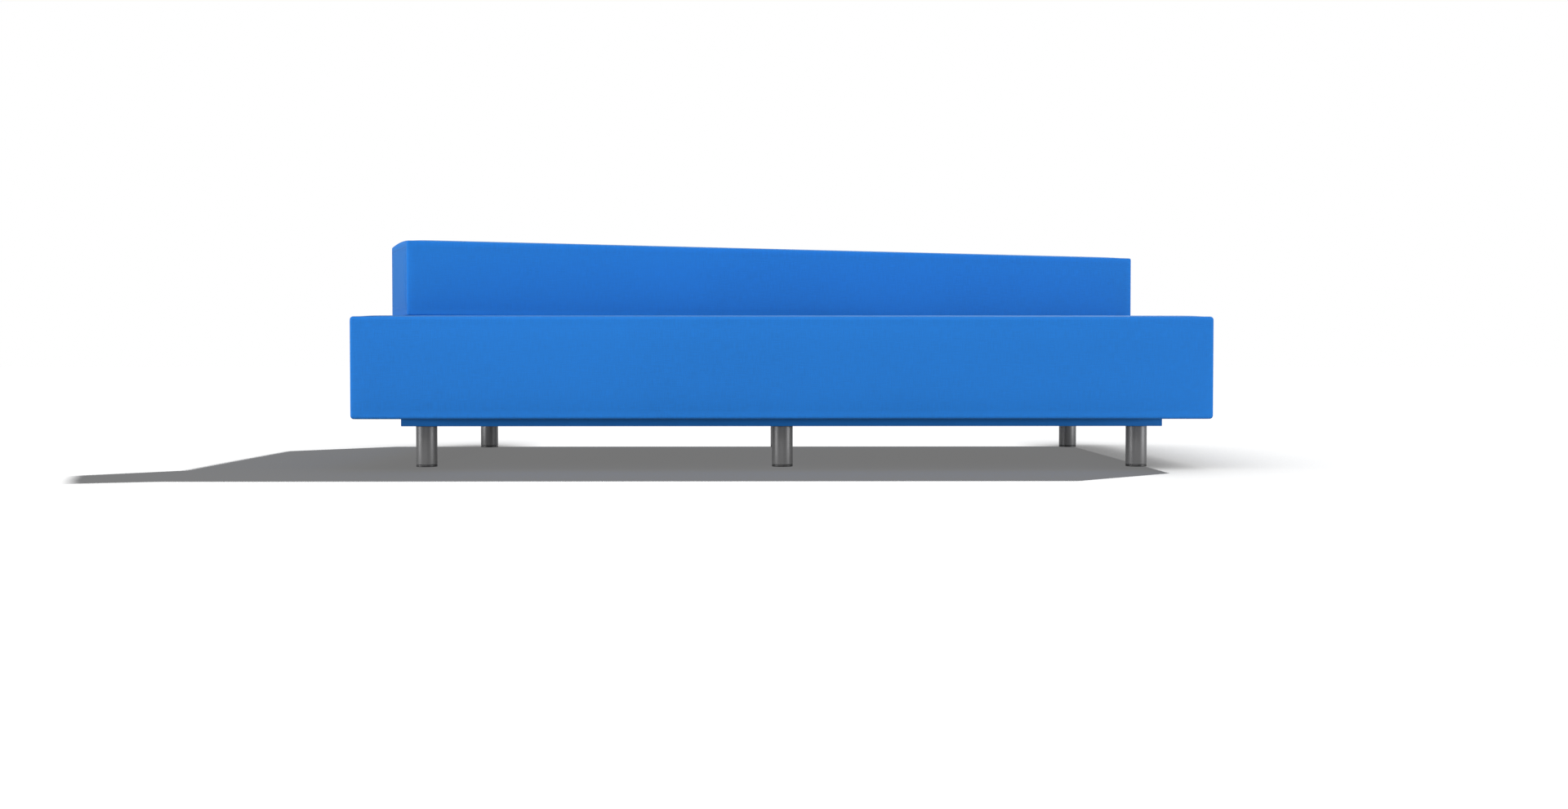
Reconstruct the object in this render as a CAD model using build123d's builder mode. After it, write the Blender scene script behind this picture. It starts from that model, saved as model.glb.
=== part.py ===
"""Block sofa bed: a wide upholstered seat on six steel legs, with a long backrest that turns and lifts off.

Millimetres. X runs along the seat, Y from the front to the rear, Z up. The origin is on the floor, under
the middle of the seat.
"""
import os
from math import asin, degrees

from build123d import *

# Seat block
SEAT_LENGTH = 2000
SEAT_DEPTH = 1200
SEAT_HEIGHT = 238
SEAT_CROWN = 5

# Backrest block
BACK_LENGTH = 2000
BACK_DEPTH = 265
BACK_HEIGHT = 178.5
BACK_CROWN = 4
BACK_TURN = 20
BACK_GAP = 0.5

# Upholstery
COVER_THICKNESS = 4
EDGE_RADIUS = 9
END_RADIUS = 7
COVER_LIP = 34
DUST_THICKNESS = 1.5
SOFT_GAP = 0.3

# Legs
LEG_HEIGHT = 98
LEG_DIAMETER = 50
LEG_FROM_END = 149
LEG_FROM_SIDE = 142
GLIDE_HEIGHT = 5
GLIDE_CHAMFER = 1
STUD_DIAMETER = 10
STUD_LENGTH = 18
THREAD_GAP = 0.05
HOLE_GAP = 0.2

# Plinth
PLINTH_THICKNESS = 20
PLINTH_INSET = 97
PLINTH_RAIL_WIDTH = 100
PLINTH_MIDDLE_WIDTH = 170

# Seat frame
PAD_THICKNESS = 15
RAIL_THICKNESS = 25
RAIL_HEIGHT = 100
HOUSED_DEPTH = 8
BEAM_THICKNESS = 35
BEAM_HEIGHT = 60
BEAM_PAIR_GAP = 90
CORNER_BLOCK_LEG = 70
CORNER_BLOCK_HEIGHT = 55

# Slats
SLATS_PER_SIDE = 9
SLAT_WIDTH = 60
SLAT_THICKNESS = 10
SLAT_BOW = 8
FIRST_SLAT = 112
SLAT_END_ROOM = 70
LEDGER_WIDTH = 28
LEDGER_HEIGHT = 22
HOLDER_WALL = 3
HOLDER_SLACK = 2
CORE_ABOVE_RAIL = 3

# Swivel: pin, sleeve, bush and housing, from the middle outwards
PIN_DIAMETER = 32
PIN_LENGTH = 205
PIN_CHAMFER = 2
SLIDE_GAP = 0.1
SLEEVE_WALL = 4
RUN_GAP = 0.05
BUSH_WALL = 3
BUSH_FLANGE_THICKNESS = 2
BUSH_FLANGE_WIDTH = 7
PRESS_GAP = 0.02
HOUSING_WALL = 3
HOUSING_FLOOR_GAP = 20
HOUSING_RING = 6
HOUSING_RING_WIDTH = 16
HOUSING_PLATE_LENGTH = 150
HOUSING_PLATE_DEPTH = 160
HOUSING_PLATE = 6
COLLAR_HEIGHT = 14
COLLAR_WIDTH = 17
COLLAR_BELOW_COVER = 7.5
AXIAL_GAP = 0.1
KEY_DIAMETER = 8
KEY_LENGTH = 56
KEY_DEPTH = 10
STOP_DIAMETER = 6
STOP_HEIGHT = 11
STOP_FROM_EDGE = 2.5
STOP_GAP = 0.3
STOP_SWING = 20
RETAINER_THICKNESS = 1.75
RETAINER_GROOVE = 1.25
RETAINER_WIDTH = 5
RETAINER_MOUTH = 12
SLEEVE_TAIL = 6

# Eyelet in the seat cover
EYELET_BORE = 64
EYELET_WALL = 2
EYELET_FLANGE = 84
EYELET_FLANGE_THICKNESS = 1.5
EYELET_BARREL = 9.5
CORE_BORE_GAP = 3

# Backrest frame
BACK_PAD = 20
BOARD_THICKNESS = 18
TOP_BOARD_THICKNESS = 12
TOP_PAD = 30
RIB_THICKNESS = 18
RIB_FROM_END = 60
INNER_RIB_FROM_MIDDLE = 300
RIB_WINDOW_MARGIN = 35
PLATE_LENGTH = 160
PLATE_DEPTH = 120
PLATE_THICKNESS = 5
PLATE_RADIUS = 10
PLATE_INSET = 0.5

# Levels, from the floor up
PLINTH_BOTTOM = LEG_HEIGHT
SEAT_BOTTOM = PLINTH_BOTTOM + PLINTH_THICKNESS
FRAME_BOTTOM = SEAT_BOTTOM + COVER_THICKNESS
BEAM_BOTTOM = SEAT_BOTTOM + DUST_THICKNESS
BEAM_TOP = BEAM_BOTTOM + BEAM_HEIGHT
RAIL_TOP = FRAME_BOTTOM + RAIL_HEIGHT
CORE_BOTTOM = RAIL_TOP + CORE_ABOVE_RAIL
SEAT_EDGE = SEAT_BOTTOM + SEAT_HEIGHT
SEAT_TOP = SEAT_EDGE + SEAT_CROWN
CAVITY_TOP = SEAT_EDGE - COVER_THICKNESS
BACK_BOTTOM = SEAT_TOP + BACK_GAP
BACK_EDGE = BACK_BOTTOM + BACK_HEIGHT
BOARD_BOTTOM = BACK_BOTTOM + COVER_THICKNESS
BOARD_TOP = BOARD_BOTTOM + BOARD_THICKNESS
BACK_CAVITY_TOP = BACK_EDGE - COVER_THICKNESS
TOP_BOARD_TOP = BACK_CAVITY_TOP - SOFT_GAP - TOP_PAD
TOP_BOARD_BOTTOM = TOP_BOARD_TOP - TOP_BOARD_THICKNESS

# Outlines inside the seat cover
CAVITY_LENGTH = SEAT_LENGTH - 2 * COVER_THICKNESS
CAVITY_DEPTH = SEAT_DEPTH - 2 * COVER_THICKNESS
FRAME_LENGTH = CAVITY_LENGTH - 2 * PAD_THICKNESS
FRAME_DEPTH = CAVITY_DEPTH - 2 * PAD_THICKNESS
INNER_LENGTH = FRAME_LENGTH - 2 * RAIL_THICKNESS
INNER_DEPTH = FRAME_DEPTH - 2 * RAIL_THICKNESS
SEAT_OPENING_LENGTH = SEAT_LENGTH - 2 * COVER_LIP
SEAT_OPENING_DEPTH = SEAT_DEPTH - 2 * COVER_LIP
PLINTH_LENGTH = SEAT_LENGTH - 2 * PLINTH_INSET
PLINTH_DEPTH = SEAT_DEPTH - 2 * PLINTH_INSET
PLINTH_INNER_DEPTH = PLINTH_DEPTH - 2 * PLINTH_RAIL_WIDTH
PLINTH_RAIL_X = (PLINTH_LENGTH - PLINTH_RAIL_WIDTH) / 2
PLINTH_RAIL_Y = (PLINTH_DEPTH - PLINTH_RAIL_WIDTH) / 2

# Outlines inside the backrest cover
BACK_CAVITY_LENGTH = BACK_LENGTH - 2 * COVER_THICKNESS
BACK_CAVITY_DEPTH = BACK_DEPTH - 2 * COVER_THICKNESS
BOARD_LENGTH = BACK_CAVITY_LENGTH - 2 * BACK_PAD
BOARD_DEPTH = BACK_CAVITY_DEPTH - 2 * BACK_PAD
BACK_OPENING_LENGTH = BACK_LENGTH - 2 * COVER_LIP
BACK_OPENING_DEPTH = BACK_DEPTH - 2 * COVER_LIP

# Legs and beams in plan
LEG_X = SEAT_LENGTH / 2 - LEG_FROM_END
LEG_Y = SEAT_DEPTH / 2 - LEG_FROM_SIDE
LEG_SPOTS = {
    "front_left": (-LEG_X, -LEG_Y),
    "front_middle": (0, -LEG_Y),
    "front_right": (LEG_X, -LEG_Y),
    "rear_left": (-LEG_X, LEG_Y),
    "rear_middle": (0, LEG_Y),
    "rear_right": (LEG_X, LEG_Y),
}
MIDDLE_BEAM_X = (BEAM_PAIR_GAP + BEAM_THICKNESS) / 2
BEAM_SPOTS = {
    "left": -PLINTH_RAIL_X,
    "middle_left": -MIDDLE_BEAM_X,
    "middle_right": MIDDLE_BEAM_X,
    "right": PLINTH_RAIL_X,
}

# Slat levels and spacing
SLAT_LOW = CORE_BOTTOM - SOFT_GAP - SLAT_THICKNESS - SLAT_BOW
HOLDER_BOTTOM = SLAT_LOW - SOFT_GAP - HOLDER_WALL
HOLDER_POCKET_HEIGHT = SLAT_THICKNESS + HOLDER_SLACK
HOLDER_HEIGHT = HOLDER_POCKET_HEIGHT + 2 * HOLDER_WALL
SLAT_LENGTH = INNER_DEPTH - 2 * (HOLDER_WALL + SOFT_GAP)
LAST_SLAT = INNER_LENGTH / 2 - SLAT_END_ROOM
SLAT_PITCH = (LAST_SLAT - FIRST_SLAT) / (SLATS_PER_SIDE - 1)

# Swivel radii, from the pin outwards
PIN_RADIUS = PIN_DIAMETER / 2
SLEEVE_BORE = PIN_RADIUS + SLIDE_GAP
SLEEVE_RADIUS = SLEEVE_BORE + SLEEVE_WALL
BUSH_BORE = SLEEVE_RADIUS + RUN_GAP
BUSH_RADIUS = BUSH_BORE + BUSH_WALL
BUSH_FLANGE_RADIUS = BUSH_BORE + BUSH_FLANGE_WIDTH
HOUSING_BORE = BUSH_RADIUS + PRESS_GAP
HOUSING_RADIUS = HOUSING_BORE + HOUSING_WALL
HOUSING_RING_RADIUS = HOUSING_RADIUS + HOUSING_RING_WIDTH
COLLAR_RADIUS = SLEEVE_RADIUS + COLLAR_WIDTH
CORE_BORE = HOUSING_RING_RADIUS + CORE_BORE_GAP

# Swivel levels, from the collar down
COLLAR_TOP = CAVITY_TOP - COLLAR_BELOW_COVER
COLLAR_BOTTOM = COLLAR_TOP - COLLAR_HEIGHT
UPPER_FLANGE_TOP = COLLAR_BOTTOM - AXIAL_GAP
HOUSING_TOP = UPPER_FLANGE_TOP - BUSH_FLANGE_THICKNESS
HOUSING_BOTTOM = BEAM_BOTTOM + HOUSING_FLOOR_GAP
RETAINER_TOP = HOUSING_BOTTOM - AXIAL_GAP
RETAINER_BOTTOM = RETAINER_TOP - RETAINER_THICKNESS
SLEEVE_BOTTOM = RETAINER_BOTTOM - SLEEVE_TAIL
KEY_LEVEL = COLLAR_TOP - KEY_DEPTH + SOFT_GAP + KEY_DIAMETER / 2
STOP_RADIUS_OUT = COLLAR_RADIUS - STOP_FROM_EDGE
STOP_ROOM = STOP_DIAMETER / 2 + STOP_GAP
NOTCH_DEPTH_RADIUS = STOP_RADIUS_OUT - STOP_ROOM
NOTCH_HALF_ANGLE = STOP_SWING + degrees(asin(STOP_ROOM / STOP_RADIUS_OUT))
STOP_ANGLE = 90

# Places that turn with the backrest
BACK_FRAME = Location((0, 0, 0), (0, 0, BACK_TURN))


def turned_level(height):
    """Level plane at a height, with its first axis along the backrest."""
    return Plane(BACK_FRAME * Plane.XY.offset(height).location)


def turned_section(along):
    """Upright plane across the backrest, at a distance along it from the middle."""
    return Plane(BACK_FRAME * Plane.YZ.offset(along).location)


def save(solid, name):
    """Name a finished piece and write its file."""
    solid.label = name
    export_step(solid, f"parts/{name}.step")


def upholstered_cover(section, level_at, length, depth, bottom, edge, crown):
    """Fitted cover: domed top and rounded edges outside, boxy inside, turned in under the frame by a lip."""
    half = depth / 2
    lengthways = Axis((0, 0, 0), section.z_dir)
    with BuildPart() as cover:
        with BuildSketch(section) as outline:
            with BuildLine():
                Polyline((-half, edge), (-half, bottom), (half, bottom), (half, edge))
                ThreePointArc((half, edge), (0, edge + crown), (-half, edge))
            make_face()
            fillet(outline.vertices(), EDGE_RADIUS)
        extrude(amount=length / 2, both=True)
        ends = cover.faces().sort_by(lengthways)
        fillet(ends[0].edges() + ends[-1].edges(), END_RADIUS)
        with BuildSketch(level_at(bottom + COVER_THICKNESS)):
            Rectangle(length - 2 * COVER_THICKNESS, depth - 2 * COVER_THICKNESS)
        extrude(amount=edge - bottom - 2 * COVER_THICKNESS, mode=Mode.SUBTRACT)
        with BuildSketch(level_at(bottom)):
            Rectangle(length - 2 * COVER_LIP, depth - 2 * COVER_LIP)
        extrude(amount=COVER_THICKNESS, mode=Mode.SUBTRACT)
    return cover.part


def turned_piece(profile, spots=((0, 0),)):
    """Round piece from a closed outline of radius and height points, repeated at each spot."""
    with BuildPart() as turned:
        for x, y in spots:
            with BuildSketch(Plane(origin=(x, y, 0), x_dir=(1, 0, 0), z_dir=(0, -1, 0))):
                with BuildLine():
                    Polyline(*profile, close=True)
                make_face()
            revolve(axis=Axis((x, y, 0), (0, 0, 1)))
    return turned.part


os.makedirs("parts", exist_ok=True)

# Legs: round bars with a threaded stud on top
LEG_RADIUS = LEG_DIAMETER / 2
STUD_RADIUS = STUD_DIAMETER / 2
STUD_TOP = LEG_HEIGHT + STUD_LENGTH
LEG_OUTLINE = [
    (0, GLIDE_HEIGHT),
    (LEG_RADIUS, GLIDE_HEIGHT),
    (LEG_RADIUS, LEG_HEIGHT),
    (STUD_RADIUS, LEG_HEIGHT),
    (STUD_RADIUS, STUD_TOP),
    (0, STUD_TOP),
]
for spot_name, spot in LEG_SPOTS.items():
    save(turned_piece(LEG_OUTLINE, [spot]), f"leg_{spot_name}")

# Glides under the legs
GLIDE_OUTLINE = [
    (0, 0),
    (LEG_RADIUS - GLIDE_CHAMFER, 0),
    (LEG_RADIUS, GLIDE_CHAMFER),
    (LEG_RADIUS, GLIDE_HEIGHT),
    (0, GLIDE_HEIGHT),
]
save(turned_piece(GLIDE_OUTLINE, LEG_SPOTS.values()), "leg_glides")

# Plinth: two long rails that the legs screw into, three short rails between them
for end_name, side in (("front", -1), ("rear", 1)):
    with BuildPart() as plinth_long:
        with BuildSketch(Plane.XY.offset(PLINTH_BOTTOM)):
            with Locations((0, side * PLINTH_RAIL_Y)):
                Rectangle(PLINTH_LENGTH, PLINTH_RAIL_WIDTH)
            with Locations(*[(x, side * LEG_Y) for x in (-LEG_X, 0, LEG_X)]):
                Circle(STUD_RADIUS + THREAD_GAP, mode=Mode.SUBTRACT)
        extrude(amount=PLINTH_THICKNESS)
    save(plinth_long.part, f"plinth_rail_{end_name}")

for rail_name, rail_x, rail_width in (
    ("left", -PLINTH_RAIL_X, PLINTH_RAIL_WIDTH),
    ("middle", 0, PLINTH_MIDDLE_WIDTH),
    ("right", PLINTH_RAIL_X, PLINTH_RAIL_WIDTH),
):
    with BuildPart() as plinth_short:
        with BuildSketch(Plane.XY.offset(PLINTH_BOTTOM)):
            with Locations((rail_x, 0)):
                Rectangle(rail_width, PLINTH_INNER_DEPTH)
        extrude(amount=PLINTH_THICKNESS)
    save(plinth_short.part, f"plinth_rail_{rail_name}")

# Dust cover, closing the underside of the seat inside the cover's lip
with BuildPart() as dust_cover:
    with BuildSketch(Plane.XY.offset(SEAT_BOTTOM)):
        Rectangle(SEAT_OPENING_LENGTH - 2 * SOFT_GAP, SEAT_OPENING_DEPTH - 2 * SOFT_GAP)
    extrude(amount=DUST_THICKNESS)
save(dust_cover.part, "dust_cover")

# Seat frame: long rails with housings for the side rails and the beams
RAIL_Y = (FRAME_DEPTH - RAIL_THICKNESS) / 2
RAIL_X = (FRAME_LENGTH - RAIL_THICKNESS) / 2
HOUSING_Y = (INNER_DEPTH + HOUSED_DEPTH) / 2
for end_name, side in (("front", -1), ("rear", 1)):
    with BuildPart() as long_rail:
        with BuildSketch(Plane.XY.offset(FRAME_BOTTOM)):
            with Locations((0, side * RAIL_Y)):
                Rectangle(FRAME_LENGTH, RAIL_THICKNESS)
            with Locations((-RAIL_X, side * HOUSING_Y), (RAIL_X, side * HOUSING_Y)):
                Rectangle(RAIL_THICKNESS, HOUSED_DEPTH, mode=Mode.SUBTRACT)
        extrude(amount=RAIL_HEIGHT)
        with BuildSketch(Plane.XY.offset(FRAME_BOTTOM)):
            with Locations(*[(x, side * HOUSING_Y) for x in BEAM_SPOTS.values()]):
                Rectangle(BEAM_THICKNESS, HOUSED_DEPTH)
        extrude(amount=BEAM_TOP - FRAME_BOTTOM, mode=Mode.SUBTRACT)
    save(long_rail.part, f"seat_rail_{end_name}")

CROSS_LENGTH = INNER_DEPTH + 2 * HOUSED_DEPTH
for end_name, side in (("left", -1), ("right", 1)):
    with BuildPart() as side_rail:
        with BuildSketch(Plane.XY.offset(FRAME_BOTTOM)):
            with Locations((side * RAIL_X, 0)):
                Rectangle(RAIL_THICKNESS, CROSS_LENGTH)
        extrude(amount=RAIL_HEIGHT)
    save(side_rail.part, f"seat_rail_{end_name}")

# Cross beams, housed in the long rails
for beam_name, beam_x in BEAM_SPOTS.items():
    with BuildPart() as cross_beam:
        with BuildSketch(Plane.XY.offset(BEAM_BOTTOM)):
            with Locations((beam_x, 0)):
                Rectangle(BEAM_THICKNESS, CROSS_LENGTH)
        extrude(amount=BEAM_HEIGHT)
    save(cross_beam.part, f"cross_beam_{beam_name}")

with BuildPart() as corner_blocks:
    with BuildSketch(Plane.XY.offset(FRAME_BOTTOM)):
        for x_side, y_side in ((-1, -1), (1, -1), (1, 1), (-1, 1)):
            corner_x = x_side * INNER_LENGTH / 2
            corner_y = y_side * INNER_DEPTH / 2
            with BuildLine():
                Polyline(
                    (corner_x, corner_y),
                    (corner_x - x_side * CORNER_BLOCK_LEG, corner_y),
                    (corner_x, corner_y - y_side * CORNER_BLOCK_LEG),
                    close=True,
                )
            make_face()
    extrude(amount=CORNER_BLOCK_HEIGHT)
save(corner_blocks.part, "corner_blocks")

# Slats, bowed upwards, in holders on two ledgers
LEDGER_Y = (INNER_DEPTH - LEDGER_WIDTH) / 2
LEDGER_BOTTOM = HOLDER_BOTTOM - LEDGER_HEIGHT
for end_name, side in (("front", -1), ("rear", 1)):
    with BuildPart() as ledger:
        with BuildSketch(Plane.XY.offset(LEDGER_BOTTOM)):
            with Locations((0, side * LEDGER_Y)):
                Rectangle(INNER_LENGTH, LEDGER_WIDTH)
        extrude(amount=LEDGER_HEIGHT)
    save(ledger.part, f"slat_ledger_{end_name}")

SLAT_SPOTS = [FIRST_SLAT + number * SLAT_PITCH for number in range(SLATS_PER_SIDE)]
SLAT_HALF = SLAT_LENGTH / 2
SLAT_HIGH = SLAT_LOW + SLAT_THICKNESS
for end_name, side in (("left", -1), ("right", 1)):
    with BuildPart() as slats:
        for spot in SLAT_SPOTS:
            with BuildSketch(Plane.YZ.offset(side * spot)):
                with BuildLine():
                    ThreePointArc((-SLAT_HALF, SLAT_LOW), (0, SLAT_LOW + SLAT_BOW), (SLAT_HALF, SLAT_LOW))
                    Line((SLAT_HALF, SLAT_LOW), (SLAT_HALF, SLAT_HIGH))
                    ThreePointArc((SLAT_HALF, SLAT_HIGH), (0, SLAT_HIGH + SLAT_BOW), (-SLAT_HALF, SLAT_HIGH))
                    Line((-SLAT_HALF, SLAT_HIGH), (-SLAT_HALF, SLAT_LOW))
                make_face()
            extrude(amount=SLAT_WIDTH / 2, both=True)
    save(slats.part, f"slats_{end_name}")

HOLDER_POCKET_WIDTH = SLAT_WIDTH + 2 * SOFT_GAP
HOLDER_WIDTH = HOLDER_POCKET_WIDTH + 2 * HOLDER_WALL
HOLDER_POCKET_DEPTH = LEDGER_WIDTH - HOLDER_WALL
HOLDER_SPOTS = [way * spot for way in (-1, 1) for spot in SLAT_SPOTS]
for end_name, side in (("front", -1), ("rear", 1)):
    pocket_y = side * (LEDGER_Y - HOLDER_WALL / 2)
    with BuildPart() as slat_holders:
        with BuildSketch(Plane.XY.offset(HOLDER_BOTTOM)):
            with Locations(*[(x, side * LEDGER_Y) for x in HOLDER_SPOTS]):
                Rectangle(HOLDER_WIDTH, LEDGER_WIDTH)
        extrude(amount=HOLDER_HEIGHT)
        with BuildSketch(Plane.XY.offset(HOLDER_BOTTOM + HOLDER_WALL)):
            with Locations(*[(x, pocket_y) for x in HOLDER_SPOTS]):
                Rectangle(HOLDER_POCKET_WIDTH, HOLDER_POCKET_DEPTH)
        extrude(amount=HOLDER_POCKET_HEIGHT, mode=Mode.SUBTRACT)
    save(slat_holders.part, f"slat_holders_{end_name}")

# Seat padding, core and cover
with BuildPart() as side_padding:
    with BuildSketch(Plane.XY.offset(FRAME_BOTTOM)):
        Rectangle(CAVITY_LENGTH - 2 * SOFT_GAP, CAVITY_DEPTH - 2 * SOFT_GAP)
        Rectangle(FRAME_LENGTH, FRAME_DEPTH, mode=Mode.SUBTRACT)
    extrude(amount=CORE_BOTTOM - SOFT_GAP - FRAME_BOTTOM)
save(side_padding.part, "side_padding")

with BuildPart() as futon_core:
    with BuildSketch(Plane.XY.offset(CORE_BOTTOM)):
        Rectangle(CAVITY_LENGTH - 2 * SOFT_GAP, CAVITY_DEPTH - 2 * SOFT_GAP)
        Circle(CORE_BORE, mode=Mode.SUBTRACT)
    extrude(amount=CAVITY_TOP - SOFT_GAP - CORE_BOTTOM)
save(futon_core.part, "futon_core")

EYELET_RADIUS = EYELET_BORE / 2 + EYELET_WALL
EYELET_SEAT = SEAT_TOP - EYELET_FLANGE_THICKNESS
plain_seat_cover = upholstered_cover(
    Plane.YZ, Plane.XY.offset, SEAT_LENGTH, SEAT_DEPTH, SEAT_BOTTOM, SEAT_EDGE, SEAT_CROWN
)
with BuildPart() as seat_cover:
    add(plain_seat_cover)
    with BuildSketch(Plane.XY.offset(CAVITY_TOP)):
        Circle(EYELET_RADIUS + HOLE_GAP)
    extrude(amount=SEAT_TOP - CAVITY_TOP, mode=Mode.SUBTRACT)
    with BuildSketch(Plane.XY.offset(EYELET_SEAT)):
        Circle(EYELET_FLANGE / 2 + HOLE_GAP)
    extrude(amount=EYELET_FLANGE_THICKNESS, mode=Mode.SUBTRACT)
save(seat_cover.part, "seat_cover")

EYELET_BOTTOM = EYELET_SEAT - EYELET_BARREL
EYELET_OUTLINE = [
    (EYELET_BORE / 2, EYELET_BOTTOM),
    (EYELET_RADIUS, EYELET_BOTTOM),
    (EYELET_RADIUS, EYELET_SEAT),
    (EYELET_FLANGE / 2, EYELET_SEAT),
    (EYELET_FLANGE / 2, SEAT_TOP),
    (EYELET_BORE / 2, SEAT_TOP),
]
save(turned_piece(EYELET_OUTLINE), "eyelet_ring")

# Swivel housing: tube with a ring at the top and a plate across the middle beams
with BuildPart() as swivel_housing:
    with BuildSketch(Plane.XY.offset(HOUSING_BOTTOM)):
        Circle(HOUSING_RADIUS)
    extrude(amount=HOUSING_TOP - HOUSING_BOTTOM)
    with BuildSketch(Plane.XY.offset(HOUSING_TOP)):
        Circle(HOUSING_RING_RADIUS)
    extrude(amount=-HOUSING_RING)
    with BuildSketch(Plane.XY.offset(BEAM_TOP)):
        Rectangle(HOUSING_PLATE_LENGTH, HOUSING_PLATE_DEPTH)
    extrude(amount=HOUSING_PLATE)
    with BuildSketch(Plane.XY.offset(HOUSING_BOTTOM)):
        Circle(HOUSING_BORE)
    extrude(amount=HOUSING_TOP - HOUSING_BOTTOM, mode=Mode.SUBTRACT)
    with BuildSketch(Plane.XY.offset(HOUSING_TOP)):
        with PolarLocations(STOP_RADIUS_OUT, 1, start_angle=STOP_ANGLE):
            Circle(STOP_DIAMETER / 2 + PRESS_GAP)
    extrude(amount=-HOUSING_RING, mode=Mode.SUBTRACT)
save(swivel_housing.part, "swivel_housing")

with BuildPart() as stop_dowel:
    with BuildSketch(Plane.XY.offset(HOUSING_TOP - HOUSING_RING)):
        with PolarLocations(STOP_RADIUS_OUT, 1, start_angle=STOP_ANGLE):
            Circle(STOP_DIAMETER / 2)
    extrude(amount=HOUSING_RING + STOP_HEIGHT)
save(stop_dowel.part, "stop_dowel")

# Bush, a liner along the whole housing with a flange under the sleeve's collar
BUSH_OUTLINE = [
    (BUSH_BORE, HOUSING_BOTTOM),
    (BUSH_RADIUS, HOUSING_BOTTOM),
    (BUSH_RADIUS, HOUSING_TOP),
    (BUSH_FLANGE_RADIUS, HOUSING_TOP),
    (BUSH_FLANGE_RADIUS, UPPER_FLANGE_TOP),
    (BUSH_BORE, UPPER_FLANGE_TOP),
]
save(turned_piece(BUSH_OUTLINE), "swivel_bush")

# Turning sleeve: a slot in its collar takes the backrest's key, a notch in its rim meets the stop
GROOVE_RADIUS = SLEEVE_RADIUS - RETAINER_GROOVE
SLEEVE_OUTLINE = [
    (SLEEVE_BORE, SLEEVE_BOTTOM),
    (SLEEVE_RADIUS, SLEEVE_BOTTOM),
    (SLEEVE_RADIUS, RETAINER_BOTTOM),
    (GROOVE_RADIUS, RETAINER_BOTTOM),
    (GROOVE_RADIUS, RETAINER_TOP),
    (SLEEVE_RADIUS, RETAINER_TOP),
    (SLEEVE_RADIUS, COLLAR_BOTTOM),
    (COLLAR_RADIUS, COLLAR_BOTTOM),
    (COLLAR_RADIUS, COLLAR_TOP),
    (SLEEVE_BORE, COLLAR_TOP),
]
NOTCH_START = STOP_ANGLE - NOTCH_HALF_ANGLE
NOTCH_RIM = COLLAR_RADIUS + STOP_DIAMETER
with BuildPart() as swivel_sleeve:
    add(turned_piece(SLEEVE_OUTLINE))
    with BuildSketch(turned_level(COLLAR_TOP)):
        Rectangle(2 * NOTCH_RIM, KEY_DIAMETER + 2 * SOFT_GAP)
    extrude(amount=-KEY_DEPTH, mode=Mode.SUBTRACT)
    with BuildSketch(turned_level(COLLAR_BOTTOM)):
        with BuildLine():
            inner = CenterArc((0, 0), NOTCH_DEPTH_RADIUS, NOTCH_START, 2 * NOTCH_HALF_ANGLE)
            outer = CenterArc((0, 0), NOTCH_RIM, NOTCH_START, 2 * NOTCH_HALF_ANGLE)
            Line(inner @ 0, outer @ 0)
            Line(inner @ 1, outer @ 1)
        make_face()
    extrude(amount=COLLAR_HEIGHT, mode=Mode.SUBTRACT)
save(swivel_sleeve.part, "swivel_sleeve")

RETAINER_RADIUS = GROOVE_RADIUS + RETAINER_WIDTH
with BuildPart() as retaining_ring:
    with BuildSketch(turned_level(RETAINER_BOTTOM)):
        Circle(RETAINER_RADIUS)
        Circle(GROOVE_RADIUS + PRESS_GAP, mode=Mode.SUBTRACT)
        with Locations((0, -RETAINER_RADIUS)):
            Rectangle(RETAINER_MOUTH, 2 * RETAINER_WIDTH, mode=Mode.SUBTRACT)
    extrude(amount=RETAINER_THICKNESS)
save(retaining_ring.part, "retaining_ring")

# Pivot post under the backrest: plate and pin in one weldment, with a cross key
PLATE_BOTTOM = BACK_BOTTOM + PLATE_INSET
PLATE_TOP = PLATE_BOTTOM + PLATE_THICKNESS
plate_underside = turned_level(PLATE_BOTTOM)
with BuildPart() as pivot_post:
    with BuildSketch(plate_underside):
        RectangleRounded(PLATE_LENGTH, PLATE_DEPTH, PLATE_RADIUS)
    extrude(amount=PLATE_THICKNESS)
    with BuildSketch(plate_underside):
        Circle(PIN_RADIUS)
    extrude(amount=-PIN_LENGTH)
    foot = pivot_post.faces().sort_by(Axis.Z)[0]
    chamfer(foot.edges(), PIN_CHAMFER)
    with BuildSketch(turned_section(0)):
        with Locations((0, KEY_LEVEL)):
            Circle(KEY_DIAMETER / 2 + PRESS_GAP)
    extrude(amount=KEY_LENGTH / 2, both=True, mode=Mode.SUBTRACT)
save(pivot_post.part, "pivot_post")

with BuildPart() as pivot_key:
    with BuildSketch(turned_section(0)):
        with Locations((0, KEY_LEVEL)):
            Circle(KEY_DIAMETER / 2)
    extrude(amount=KEY_LENGTH / 2, both=True)
save(pivot_key.part, "pivot_key")

# Backrest frame: base board with a pocket for the plate, ribs and top board
PLATE_POCKET_LENGTH = PLATE_LENGTH + 2 * HOLE_GAP
PLATE_POCKET_DEPTH = PLATE_DEPTH + 2 * HOLE_GAP
with BuildPart() as back_base_board:
    with BuildSketch(turned_level(BOARD_BOTTOM)):
        Rectangle(BOARD_LENGTH, BOARD_DEPTH)
    extrude(amount=BOARD_THICKNESS)
    with BuildSketch(turned_level(BOARD_BOTTOM)):
        Rectangle(PLATE_POCKET_LENGTH, PLATE_POCKET_DEPTH)
    extrude(amount=PLATE_TOP - BOARD_BOTTOM, mode=Mode.SUBTRACT)
save(back_base_board.part, "back_base_board")

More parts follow.
